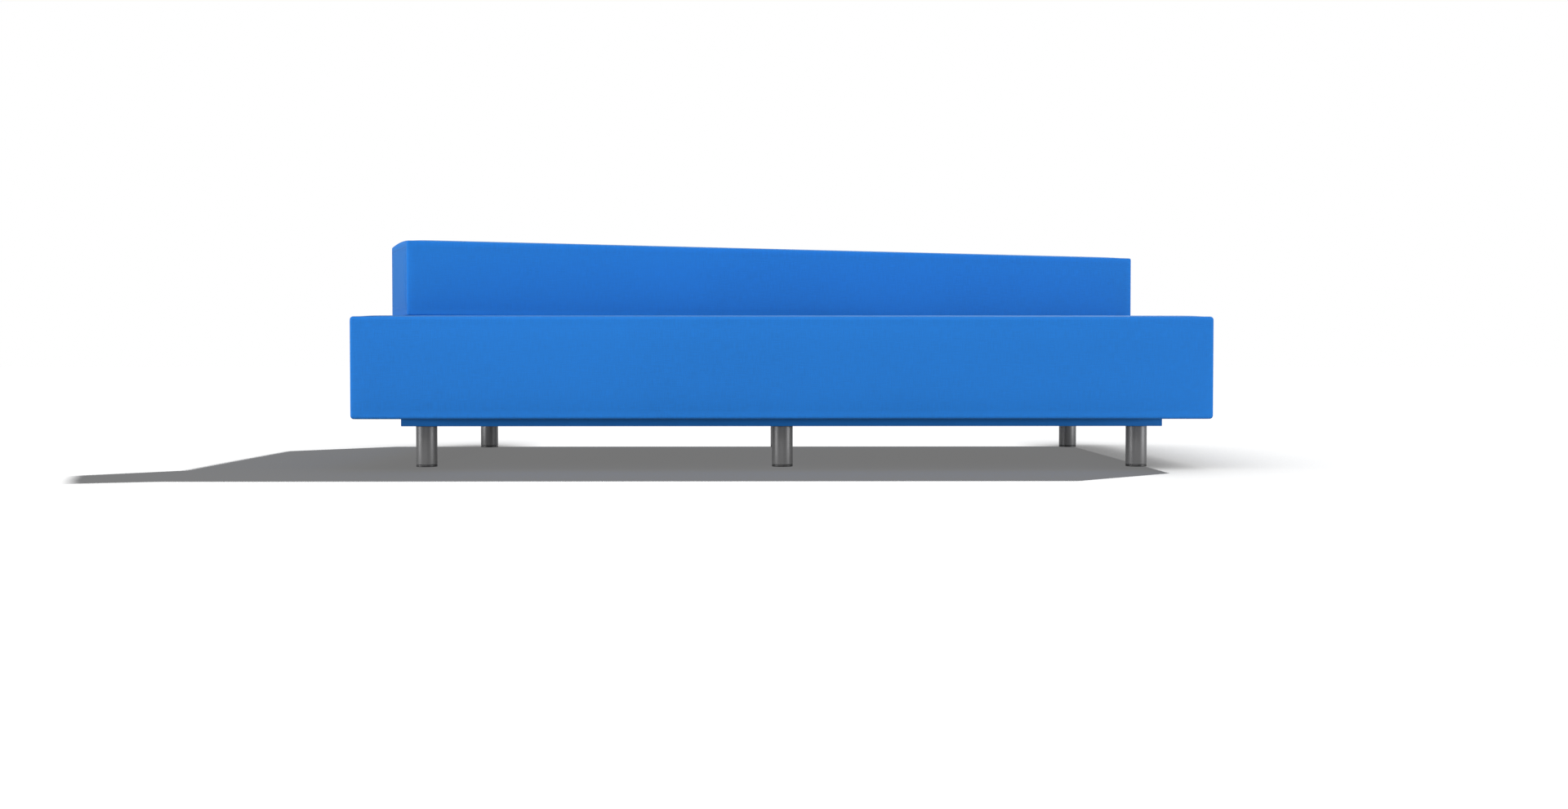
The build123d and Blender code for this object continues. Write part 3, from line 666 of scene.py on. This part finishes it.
def grained_wood(name, pale, dark, along):
    """Sawn timber with rings and fibres running along one axis."""
    material, tree, surface = new_material(name)
    place = part_place(tree)
    fibre_scale = [FIBRE_ALONG if axis == along else FIBRE_ACROSS for axis in "XYZ"]
    ring_scale = [RING_ALONG if axis == along else RING_ACROSS for axis in "XYZ"]
    fibres = drawn_noise(tree, place, fibre_scale, FIBROUS)
    values = {"Vector": stretched(tree, place, ring_scale), **RING_PATTERN}
    rings = add_node(tree, "TexWave", values, wave_type="RINGS", rings_direction=along)
    ringed = maths(tree, "MULTIPLY", rings.outputs["Fac"], RING_SHARE)
    grain = maths(tree, "ADD", ringed, maths(tree, "MULTIPLY", fibres, FIBRE_SHARE))
    colour = blend_colours(tree, levels(tree, grain, GRAIN_SPAN), pale, dark)
    finish_surface(tree, surface, colour, fibres, fibres, TIMBER_FINISH)
    return material


def plywood(name, stack):
    """Birch plywood of the backrest: broad grain, and glue lines between plies stacked along an axis."""
    material, tree, surface = new_material(name)
    place = stretched(tree, part_place(tree), (1.0, 1.0, 1.0), -BACK_TURN)
    grain = drawn_noise(tree, place, PLY_GRAIN, FIBROUS)
    plies = ripples(tree, axes(tree, place)[stack], PLY_PITCH)
    face = blend_colours(tree, levels(tree, grain, PLY_GRAIN_SPAN), BIRCH_PALE, BIRCH_DARK)
    colour = tinted(tree, face, BIRCH_DARK, plies, GLUE_LINES)
    finish_surface(tree, surface, colour, grain, grain, PLY_FINISH)
    return material


def matted_fibre(name, base, fibre_scale, dot_scale=None):
    """Non-woven cloth or felt: tangled fibres, with bonding dots where it has them."""
    material, tree, surface = new_material(name)
    place = part_place(tree)
    fibres = noise(tree, place, fibre_scale, TANGLED, TANGLED_SHARE)
    colour = mottled(tree, fibres, base, FIBRE_CONTRAST)
    height = fibres
    if dot_scale:
        dots = add_node(tree, "TexVoronoi", {"Vector": place, "Scale": dot_scale})
        from_dot = dots.outputs["Distance"]
        colour = tinted(tree, colour, base, from_dot, BONDING_DOTS)
        height = maths(tree, "MULTIPLY", fibres, levels(tree, from_dot, BONDING_DOTS.span))
    fill_sockets(tree, surface, {"Base Color": colour, **FIBRE_GLOSS})
    raise_surface(tree, surface, height, **FIBRE_RELIEF)
    return material


def floor_material():
    """Pale floor: white to the eye and in reflections, greyer to light that bounces on to the object."""
    material, tree, unused = new_material("floor")
    tree.nodes.remove(unused)
    bounce = add_node(tree, "BsdfDiffuse", {"Color": FLOOR_BOUNCE})
    near_ends = levels(tree, maths(tree, "ABSOLUTE", axes(tree, part_place(tree))["X"]), CREASE_ENDS)
    around = add_node(tree, "AmbientOcclusion", {"Distance": CREASE_REACH}, samples=CREASE_SAMPLES)
    closed = levels(tree, around.outputs["AO"], CREASE_SPAN, CREASE_SHARES)
    contact = maths(tree, "MULTIPLY", near_ends, closed)
    pale = add_node(tree, "BsdfDiffuse", {"Color": blend_colours(tree, contact, FLOOR_SEEN, BLACK)})
    lift = add_node(tree, "Emission", {"Color": WHITE, "Strength": FLOOR_LIFT})
    lifted = add_node(tree, "AddShader", {0: pale.outputs[0], 1: lift.outputs[0]})
    either_shader(tree, seen_rays(tree), bounce, lifted, tree.nodes["Material Output"])
    return material


# Upholstered blocks


def even_lines(stops):
    """Places of grid lines: at each stop, and evenly between."""
    stops = sorted({round(place, SAME_LINE_DIGITS) for place in stops})
    lines = [stops[0]]
    for start, end in zip(stops, stops[1:]):
        count = max(1, math.ceil((end - start) / CLOTH_CELL))
        lines += [start + (end - start) * (step + 1) / count for step in range(count)]
    return lines


def grid_lines(half, rounding, marks):
    """Grid lines from one side of a block to the other, close together in its roundings."""
    steps = [math.pi / 4 * step / ROUNDING_STEPS for step in range(ROUNDING_STEPS + 1)]
    positive = [half - rounding * (1 - math.tan(angle)) for angle in steps] + marks
    return even_lines(positive + [-place for place in positive])


def rectangle_walk(low, high):
    """Grid numbers once round a rectangle."""
    (left, front), (right, rear) = low, high
    walk = [(number, front) for number in range(left, right)]
    walk += [(right, number) for number in range(front, rear)]
    walk += [(number, rear) for number in range(right, left, -1)]
    walk += [(left, number) for number in range(rear, front, -1)]
    return walk


def lies_in(square, rectangle_corners):
    """Whether a square of the grid lies in a rectangle."""
    return all(low <= number < high for number, low, high in zip(square, *rectangle_corners))


def nearest(lines, place):
    """Number of the grid line at a place."""
    gaps = [abs(line - place) for line in lines]
    return gaps.index(min(gaps))


def surface_place(side, point, half):
    """Place on the unrolled cover: a panel over front, top and rear, and one at each end."""
    x, y, z = point
    places = {
        "end": (y, z),
        "front": (x, z - half.z),
        "top": (x, y + half.y),
        "rear": (x, 2 * half.y - z + half.z),
        "bottom": (x, -2 * half.z - y - half.y),
    }
    return places[side]


class CoverMesh:
    """Even mesh of quads over a rounded block with a domed top, turned in under the frame.

    Each point carries how much rubbed wear and painted highlight lighten it, how much painted shade darkens
    it, how firmly it is held and whether it is in a seam.
    """

    def __init__(self, block):
        """Lay out the grid lines and the rectangles that stay open, below and on top."""
        self.block = block
        self.half = Vector((block.length, block.depth, block.edge - block.bottom)) / 2
        seam_marks = [SEAM_FROM_EDGE + shift for shift in (-SEAM_HALF_WIDTH, 0.0, SEAM_HALF_WIDTH)]
        hole_marks = [HOLE_SQUARE] if block.has_hole else []
        x_marks = [self.half.x - COVER_LIP] + hole_marks
        y_marks = [self.half.y - mark for mark in [COVER_LIP] + seam_marks] + hole_marks
        z_marks = [self.half.z - mark for mark in seam_marks]
        all_marks = (x_marks, y_marks, z_marks)
        self.lines = [grid_lines(half, block.rounding, marks) for half, marks in zip(self.half, all_marks)]
        self.last = [len(lines) - 1 for lines in self.lines]
        self.lip = self.grid_rectangle(self.half.x - COVER_LIP, self.half.y - COVER_LIP)
        self.hole = self.grid_rectangle(HOLE_SQUARE, HOLE_SQUARE) if block.has_hole else None
        self.builder = bmesh.new()
        self.surface = self.builder.loops.layers.uv.new(UV_NAME)
        names = (NEAR_EDGE_NAME, PAINTED_SHADE_NAME, HELD_NAME, SEAM_NAME)
        self.wear, self.dusk, self.held, self.seam = map(self.builder.verts.layers.float.new, names)
        self.points = {}

    def grid_rectangle(self, *halves):
        """Grid numbers of a rectangle's lowest and highest corners."""
        return [[nearest(lines, way * half) for lines, half in zip(self.lines, halves)] for way in (-1, 1)]

    def sharp_place(self, spot):
        """Place of a grid crossing before the block is rounded, from the block's middle."""
        return Vector([lines[number] for lines, number in zip(self.lines, spot)])

    def point_at(self, *spot):
        """Point of the cover at a grid crossing."""
        if spot in self.points:
            return self.points[spot]
        block = self.block
        half = self.half
        core = half - Vector((block.rounding,) * 3)
        sharp = self.sharp_place(spot)
        inner = Vector([min(max(value, -limit), limit) for value, limit in zip(sharp, core)])
        place = inner + (sharp - inner).normalized() * block.rounding
        upper = max(0.0, (place.z - core.z) / block.rounding)
        place.z += block.crown * upper * (1 - (place.y / half.y) ** 2)
        made = self.builder.verts.new(place + UP * (block.edge + block.bottom) / 2)
        away = sorted(limit - abs(value) for value, limit in zip(sharp, half))[1]
        # Lighter near the edges: rubbed wear and a painted highlight
        made[self.wear] = max(0.0, 1 - away / EDGE_WEAR_AND_HIGHLIGHT)
        # Painted shade, darker towards the foot of the block
        if block.dusk:
            made[self.dusk] = max(0.0, 1 - (sharp.z + half.z) / block.dusk) ** PAINTED_SHADE_FADE
        on_bottom = spot[Z_AXIS] == 0
        made[self.held] = 1.0 if on_bottom else max(0.0, min(1.0, 1 - (away - block.rounding) / HELD_FADE))
        from_rim = min(half.y - abs(sharp.y), half.z - abs(sharp.z))
        on_end = spot[X_AXIS] in (0, self.last[X_AXIS])
        made[self.seam] = float(on_end and abs(from_rim - SEAM_FROM_EDGE) < SEAM_HALF_WIDTH / 2)
        self.points[spot] = made
        return made

    def panel(self, side, square, axis, line):
        """One quad of the cover on a grid line across an axis, mapped to the unrolled cloth."""
        corners = []
        for step in ((0, 0), (1, 0), (1, 1), (0, 1)):
            corner = [sum(numbers) for numbers in zip(square, step)]
            corner.insert(axis, line)
            corners.append(corner)
        face = self.builder.faces.new([self.point_at(*corner) for corner in corners])
        for loop, corner in zip(face.loops, corners):
            loop[self.surface].uv = surface_place(side, self.sharp_place(corner), self.half)

    def wrap(self, axis, *sides):
        """Two sides of the block across an axis, each on its grid line and less its opening."""
        lasts = self.last[:axis] + self.last[axis + 1 :]
        for square in product(*map(range, lasts)):
            for side, line, opening in sides:
                if not (opening and lies_in(square, opening)):
                    self.panel(side, square, axis, line)

    def turn_in_lip(self):
        """Edge of the lip, turned up towards the frame."""
        lip_edge = [self.point_at(*spot, 0) for spot in rectangle_walk(*self.lip)]
        turned_in = []
        for point in lip_edge:
            raised = self.builder.verts.new(point.co + UP * LIP_TURN)
            raised[self.held] = 1.0
            turned_in.append(raised)
        bridge(self.builder, lip_edge, turned_in)

    def round_hole(self):
        """Rings from the open square on top to the round hole, and the turn down into it."""
        outer = [self.point_at(*spot, self.last[Z_AXIS]) for spot in rectangle_walk(*self.hole)]
        square_places = [point.co.copy() for point in outer]
        top = self.block.edge + self.block.crown
        for step in range(1, HOLE_RINGS + 2):
            share = min(1.0, step / HOLE_RINGS)
            height = top - (HOLE_TURN if step > HOLE_RINGS else 0.0)
            ring = []
            for place in square_places:
                on_hole = Vector((*place.xy.normalized() * HOLE_RADIUS, height))
                point = self.builder.verts.new(place.lerp(on_hole, share))
                point[self.held] = max(0.0, (share - HOLE_FREE_SHARE) / (1 - HOLE_FREE_SHARE))
                ring.append(point)
            for face in bridge(self.builder, outer, ring):
                for loop in face.loops:
                    loop[self.surface].uv = surface_place("top", loop.vert.co, self.half)
            outer = ring


def upholstered_block(block, fabric, thread):
    """Cover of a block, pressed out by its filling, and the stitches on it."""
    mesh = CoverMesh(block)
    last_i, last_j, last_k = mesh.last
    mesh.wrap(Y_AXIS, ("front", 0, None), ("rear", last_j, None))
    mesh.wrap(X_AXIS, ("end", 0, None), ("end", last_i, None))
    mesh.wrap(Z_AXIS, ("top", last_k, mesh.hole), ("bottom", 0, mesh.lip))
    mesh.turn_in_lip()
    if block.has_hole:
        mesh.round_hole()
    cover = finished_object(f"{block.name}_upholstery", mesh.builder, fabric)
    swell(cover, block)
    finish_cover(cover)
    return cover, stitching(f"{block.name}_stitching", cover, block, thread)


def swell(cover, block):
    """Let the filling press the cover out between its held edges, up to the block's limits."""
    mesh = cover.data
    start = [vertex.co.copy() for vertex in mesh.vertices]
    held = cover.vertex_groups.new(name=HELD_NAME)
    for vertex, firmness in zip(mesh.vertices, mesh.attributes[HELD_NAME].data):
        held.add([vertex.index], firmness.value, "REPLACE")
    cloth = cover.modifiers.new("swelling", "CLOTH")
    for setting, value in SWELL_SETTINGS.items():
        setattr(cloth.settings, setting, value)
    cloth.settings.vertex_group_mass = held.name
    cloth.settings.effector_weights.gravity = 0.0
    cloth.point_cache.frame_end = SWELL_FRAMES
    scene = bpy.context.scene
    for number in range(1, SWELL_FRAMES + 1):
        scene.frame_set(number)
    swollen = cover.evaluated_get(bpy.context.evaluated_depsgraph_get())
    moves = [vertex.co - place for vertex, place in zip(swollen.data.vertices, start)]
    cover.modifiers.remove(cloth)
    scene.frame_set(1)
    for vertex, place, move in zip(mesh.vertices, start, moves):
        capped = [limit * math.tanh(way / limit) for way, limit in zip(move, block.swelling)]
        vertex.co = place + Vector(capped)
        vertex.co.z = min(vertex.co.z, max(block.ceiling, place.z))


def finish_cover(cover):
    """Draw in the seams, then give the cover its cloth thickness and a smooth surface."""
    mesh = cover.data
    for vertex, seam in zip(mesh.vertices, mesh.attributes[SEAM_NAME].data):
        if seam.value:
            vertex.co -= vertex.normal * SEAM_DEPTH
    smooth = cover.modifiers.new("smooth", "SUBSURF")
    smooth.levels = 1
    smooth.render_levels = 1
    cloth = cover.modifiers.new("cloth", "SOLIDIFY")
    cloth.thickness = COVER_CLOTH
    cloth.offset = -1.0


def short_wire(builder, place, along, outward, length, radius):
    """Short length of thread or wire lying on a surface, sunk in at both ends."""
    across = along.cross(outward)
    angles = [math.tau * number / WIRE_SIDES for number in range(WIRE_SIDES)]
    spokes = [across * math.cos(angle) + outward * math.sin(angle) for angle in angles]
    rings = []
    for reach, lift, girth in WIRE_RINGS:
        centre = place + along * length * reach + outward * radius * lift
        rings.append([builder.verts.new(centre + spoke * radius * girth) for spoke in spokes])
    closed_tube(builder, rings)


def stitching(name, cover, block, material):
    """Stitches beside the seam of each end panel: up the front, along the top and down the rear."""
    skin = BVHTree.FromObject(cover, bpy.context.evaluated_depsgraph_get())
    inset = SEAM_FROM_EDGE - STITCH_FROM_SEAM
    far_y = block.depth / 2 - inset
    low_z = block.bottom + inset
    high_z = block.edge - inset
    walk = ((-far_y, low_z), (-far_y, high_z), (far_y, high_z), (far_y, low_z))
    corners = [Vector(corner) for corner in walk]
    builder = bmesh.new()
    for way in (-1.0, 1.0):
        inwards = Vector((-way, 0.0, 0.0))
        for start, end in zip(corners, corners[1:]):
            along = Vector((0.0, *(end - start))).normalized()
            for spot in even_spots(start, end, STITCH_PITCH):
                outside = Vector((way * block.length, *spot))
                place, normal, _, _ = skin.ray_cast(outside, inwards)
                short_wire(builder, place, along, normal, **STITCH)
    return finished_object(name, builder, material)


# Other pieces


def bevelled_box(name, low, high, material):
    """Board with softened edges, thinner lacquer marked along them."""
    builder = bmesh.new()
    place = Matrix.Translation((low + high) / 2) @ Matrix.Diagonal((*(high - low), 1.0))
    bmesh.ops.create_cube(builder, size=1.0, matrix=place)
    wear_layer = builder.verts.layers.float.new(NEAR_EDGE_NAME)
    rounding = {"offset": PLINTH_BEVEL, "segments": BEVEL_SEGMENTS, "profile": BEVEL_ROUNDNESS}
    bmesh.ops.bevel(builder, geom=builder.edges[:], affect="EDGES", **rounding)
    for vertex in builder.verts:
        gaps = sorted(min(value - start, end - value) for value, start, end in zip(vertex.co, low, high))
        vertex[wear_layer] = float(gaps[1] < PLINTH_BEVEL / 2)
    return finished_object(name, builder, material)


def softened_slab(name, half, bottom, top, opening, material):
    """Thin panel with softly rounded rims round its outside and its opening."""
    soft = FELT_SOFTNESS
    rims = ((soft, bottom), (0.0, bottom + soft), (0.0, top - soft), (soft, top))
    profile = [(half.x - inset, half.y - inset, height) for inset, height in rims]
    profile += [(opening.x + inset, opening.y + inset, height) for inset, height in reversed(rims)]
    builder = bmesh.new()
    rings = []
    for half_x, half_y, height in profile:
        rings.append([builder.verts.new((*corner, height)) for corner in rectangle(half_x, half_y)])
    for first, second in zip(rings, rings[1:] + rings[:1]):
        bridge(builder, first, second)
    return finished_object(name, builder, material)


def hang(place, spans):
    """How freely cloth hangs at a place: 0 on a rail, 1 halfway between two."""
    return max(0.0, *(4 * (place - start) * (end - place) / (end - start) ** 2 for start, end in spans))


def dust_sheet(name, low, high, material):
    """Thin cloth stretched under the seat, sagging a little in the bays of the plinth."""
    left, middle, right = (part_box(f"plinth_rail_{rail}") for rail in ("left", "middle", "right"))
    x_spans = [(left[1].x, middle[0].x), (middle[1].x, right[0].x)]
    y_spans = [(middle[0].y, middle[1].y)]
    x_lines = even_lines([low.x, high.x, *chain(*x_spans)])
    y_lines = even_lines([low.y, high.y, *chain(*y_spans)])
    last_i = len(x_lines) - 1
    last_j = len(y_lines) - 1
    builder = bmesh.new()
    layers = []
    for level in (low.z + DUST_LOW, low.z + DUST_LOW + DUST_CLOTH):
        layer = {}
        for (i, x), (j, y) in product(enumerate(x_lines), enumerate(y_lines)):
            drop = DUST_SAG * hang(x, x_spans) * hang(y, y_spans)
            layer[i, j] = builder.verts.new((x, y, level - drop))
        for i, j in product(range(last_i), range(last_j)):
            builder.faces.new((layer[i, j], layer[i + 1, j], layer[i + 1, j + 1], layer[i, j + 1]))
        layers.append(layer)
    rim = rectangle_walk((0, 0), (last_i, last_j))
    bridge(builder, *([layer[spot] for spot in rim] for layer in layers))
    return finished_object(name, builder, material)


def staples(name, half_x, half_y, height, material):
    """Row of wire staples round a rectangle on an underside."""
    corners = [Vector((*corner, height)) for corner in rectangle(half_x, half_y)]
    builder = bmesh.new()
    for start, end in zip(corners, corners[1:] + corners[:1]):
        along = (end - start).normalized()
        for spot in even_spots(start, end, STAPLE_PITCH):
            short_wire(builder, spot, along, -UP, **STAPLE)
    return finished_object(name, builder, material)


def screw_heads(name, spots, material, radius, height, level):
    """Low screw heads on an underside, each with a cross recess."""
    reach = RECESS_REACH * radius
    side = RECESS_HALF_WIDTH * radius
    cross = []
    for quarter in range(4):
        turn = Matrix.Rotation(quarter * math.pi / 2, 2)
        cross += [turn @ Vector(corner) for corner in ((reach, -side), (reach, side), (side, side))]
    rim = [corner.normalized() * radius for corner in cross]
    flat = [corner * HEAD_FLAT for corner in rim]
    profile = ((rim, 0.0), (rim, HEAD_WALL), (flat, 1.0), (cross, 1.0), (cross, 1.0 - RECESS_DEPTH))
    builder = bmesh.new()
    for x, y in spots:
        rings = []
        for outline, drop in profile:
            rings.append([builder.verts.new((x + a, y + b, level - height * drop)) for a, b in outline])
        closed_tube(builder, rings)
    return finished_object(name, builder, material)


def dress(material, *node_names):
    """Give carried-over solids their material."""
    for node_name in node_names:
        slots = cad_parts[node_name].data.materials
        slots.clear()
        slots.append(material)


# Studio


def studio_world():
    """Even world light, white where it is seen."""
    world = bpy.data.worlds.new("studio")
    world.use_nodes = True
    tree = world.node_tree
    ambient = tree.nodes["Background"]
    fill_sockets(tree, ambient, {"Color": WHITE, "Strength": WORLD_STRENGTH})
    white = add_node(tree, "Background", {"Color": WHITE, "Strength": 1.0})
    either_shader(tree, seen_rays(tree), ambient, white, tree.nodes["World Output"])
    return world


def aimed_light(name, kind, strength, backwards, place=(0.0, 0.0, 0.0)):
    """Light that shines against a direction."""
    data = bpy.data.lights.new(name, kind)
    data.energy = strength
    light = bpy.data.objects.new(name, data)
    light.location = place
    light.rotation_euler = Vector(backwards).to_track_quat("Z", "Y").to_euler()
    bpy.context.scene.collection.objects.link(light)
    return light


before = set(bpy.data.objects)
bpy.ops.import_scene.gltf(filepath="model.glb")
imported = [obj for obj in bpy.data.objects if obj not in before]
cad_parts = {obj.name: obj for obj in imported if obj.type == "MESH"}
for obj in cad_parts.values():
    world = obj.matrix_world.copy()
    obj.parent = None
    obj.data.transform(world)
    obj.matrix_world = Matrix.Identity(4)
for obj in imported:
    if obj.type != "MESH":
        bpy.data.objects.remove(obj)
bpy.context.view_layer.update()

# Materials of several pieces; the thread is nylon, a shade darker than the cover
fabric = woven_fabric()
thread = moulded_plastic("thread", shade(FABRIC_BLUE, THREAD_TONE))
zinc = machined_steel("zinc_fastener", ZINC_GREY, ZINC_FINISH)

# Seat
seat, seat_stitches = upholstered_block(SEAT, fabric, thread)
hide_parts("seat_cover", "futon_core", "side_padding")
for piece in (seat, seat_stitches):
    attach(piece, "base")

# Backrest, built along the seat and then turned
back, back_stitches = upholstered_block(BACK, fabric, thread)
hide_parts("back_cover", "back_padding")
for piece in (back, back_stitches):
    piece.rotation_euler.z = BACK_TURN
    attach(piece, "backrest")

# Legs and glides
leg_steel = satin_steel()
leg_outline = round_post(GLIDE_TOP, LEG_TOP, LEG_SOFTENING)
for spot_name, spot in LEG_SPOTS.items():
    leg = turned(f"steel_leg_{spot_name}", leg_outline, [spot], leg_steel)
    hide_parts(f"leg_{spot_name}")
    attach(leg, "base")
glide_outline = round_post(0.0, GLIDE_TOP, GLIDE_SOFTENING)
glide_black = moulded_plastic("glide_black", GLIDE_BLACK)
glides = turned("black_glides", glide_outline, LEG_SPOTS.values(), glide_black)
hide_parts("leg_glides")
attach(glides, "base")

# Plinth
blue_lacquer = lacquer()
for rail_name in PLINTH_RAILS:
    rail = bevelled_box(f"lacquered_rail_{rail_name}", *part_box(f"plinth_rail_{rail_name}"), blue_lacquer)
    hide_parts(f"plinth_rail_{rail_name}")
    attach(rail, "base")

# Frame inside the seat
pine_lengthways = grained_wood("frame_wood_lengthways", PINE_PALE, PINE_DARK, "X")
pine_crossways = grained_wood("frame_wood_crossways", PINE_PALE, PINE_DARK, "Y")
for side in ("front", "rear"):
    dress(pine_lengthways, f"seat_rail_{side}", f"slat_ledger_{side}")
dress(pine_lengthways, "corner_blocks")
dress(pine_crossways, "seat_rail_left", "seat_rail_right")
for beam_name in ("left", "middle_left", "middle_right", "right"):
    dress(pine_crossways, f"cross_beam_{beam_name}")
dress(grained_wood("slat_birch", BIRCH_PALE, BIRCH_DARK, "Y"), "slats_left", "slats_right")
dress(moulded_plastic("holder_plastic", HOLDER_BLACK), "slat_holders_front", "slat_holders_rear")

# Frame inside the backrest
dress(plywood("board_ply_flat", "Z"), "back_base_board", "back_top_board")
upright_ply = plywood("board_ply_upright", "X")
for rib_name in ("left_outer", "left_inner", "right_inner", "right_outer"):
    dress(upright_ply, f"back_rib_{rib_name}")

# Swivel
swivel_steel = machined_steel("swivel_steel", SWIVEL_GREY, SWIVEL_FINISH)
dress(swivel_steel, "swivel_housing", "swivel_sleeve", "retaining_ring", "pivot_post")
dress(zinc, "stop_dowel", "pivot_key")
dress(moulded_plastic("bush_nylon", NYLON_WHITE), "swivel_bush")

# Eyelet
eyelet_metal = machined_steel("eyelet_metal", EYELET_GREY, EYELET_FINISH)
eyelet = turned("eyelet", softened(EYELET_OUTLINE, EYELET_SOFTENING), [(0.0, 0.0)], eyelet_metal)
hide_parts("eyelet_ring")
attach(eyelet, "base")

# Underside of the seat: dust cover, staples and plinth screws
dust_low, dust_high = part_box("dust_cover")
dust_cloth = matted_fibre("dust_cloth", DUST_BLACK, DUST_FIBRES, DUST_DOTS)
dust_cover = dust_sheet("dust_sheet", dust_low, dust_high, dust_cloth)
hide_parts("dust_cover")
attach(dust_cover, "base")
dust_staples = staples(
    "dust_staples", dust_high.x - STAPLE_INSET, dust_high.y - STAPLE_INSET, dust_low.z + DUST_LOW, zinc
)
lip_staples = staples(
    "lip_staples",
    SEAT.length / 2 - COVER_LIP + STAPLE_INSET,
    SEAT.depth / 2 - COVER_LIP + STAPLE_INSET,
    SEAT.bottom,
    zinc,
)
frame_screws = screw_heads("frame_screws", SCREW_SPOTS, zinc, **FRAME_SCREW)
for piece in (dust_staples, lip_staples, frame_screws):
    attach(piece, "base")

# Underside of the backrest: felt and plate screws, built along the seat and then turned
felt_half = Vector((BACK.length / 2 - COVER_LIP, BACK.depth / 2 - COVER_LIP))
felt_top = BACK.bottom + FELT_THICKNESS
felt = matted_fibre("felt", FELT_BLACK, FELT_FIBRES)
felt_panel = softened_slab("felt_panel", felt_half, BACK.bottom, felt_top, PLATE_OPENING, felt)
felt_panel.rotation_euler.z = BACK_TURN
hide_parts("back_felt")
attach(felt_panel, "backrest")
plate_screws = screw_heads("plate_screws", rectangle(*PLATE_SCREW_SPOT), zinc, **PLATE_SCREW)
plate_screws.rotation_euler.z = BACK_TURN
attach(plate_screws, "backrest")

# Floor
floor_builder = bmesh.new()
floor_corners = rectangle(FLOOR_HALF, FLOOR_HALF)
floor_builder.faces.new([floor_builder.verts.new((*corner, 0.0)) for corner in floor_corners])
floor = finished_object("floor", floor_builder, floor_material())

# Low sun, stronger on the floor for its shadow there
only_floor = bpy.data.collections.new("lit_floor")
only_floor.objects.link(floor)
sun = aimed_light("sun", "SUN", SUN_ON_ALL, SUN_DIRECTION)
sun.data.angle = SUN_ANGLE
floor_sun = aimed_light("floor_sun", "SUN", SUN_ON_FLOOR, SUN_DIRECTION)
floor_sun.data.angle = SUN_ANGLE
floor_sun.light_linking.receiver_collection = only_floor

# Soft lights that leave the floor out
all_but_floor = bpy.data.collections.new("lit_object")
all_but_floor.objects.link(floor)
all_but_floor.collection_objects[0].light_linking.link_state = "EXCLUDE"
for light_name, light in SOFT_LIGHTS.items():
    backwards = Vector(light["place"]) - Vector(LIGHT_AIM)
    soft_light = aimed_light(light_name, "AREA", light["power"], backwards, light["place"])
    soft_light.data.shape = "RECTANGLE"
    soft_light.data.size, soft_light.data.size_y = light["size"]
    soft_light.light_linking.receiver_collection = all_but_floor

# World and camera
scene = bpy.context.scene
scene.world = studio_world()
scene.view_settings.view_transform = "Standard"
camera_data = bpy.data.cameras.new("camera")
camera_data.lens = CAMERA_LENS
camera = bpy.data.objects.new("camera", camera_data)
camera.location = CAMERA_PLACE
camera.rotation_euler = (math.pi / 2 - CAMERA_PITCH, 0.0, -CAMERA_YAW)
scene.collection.objects.link(camera)
scene.camera = camera
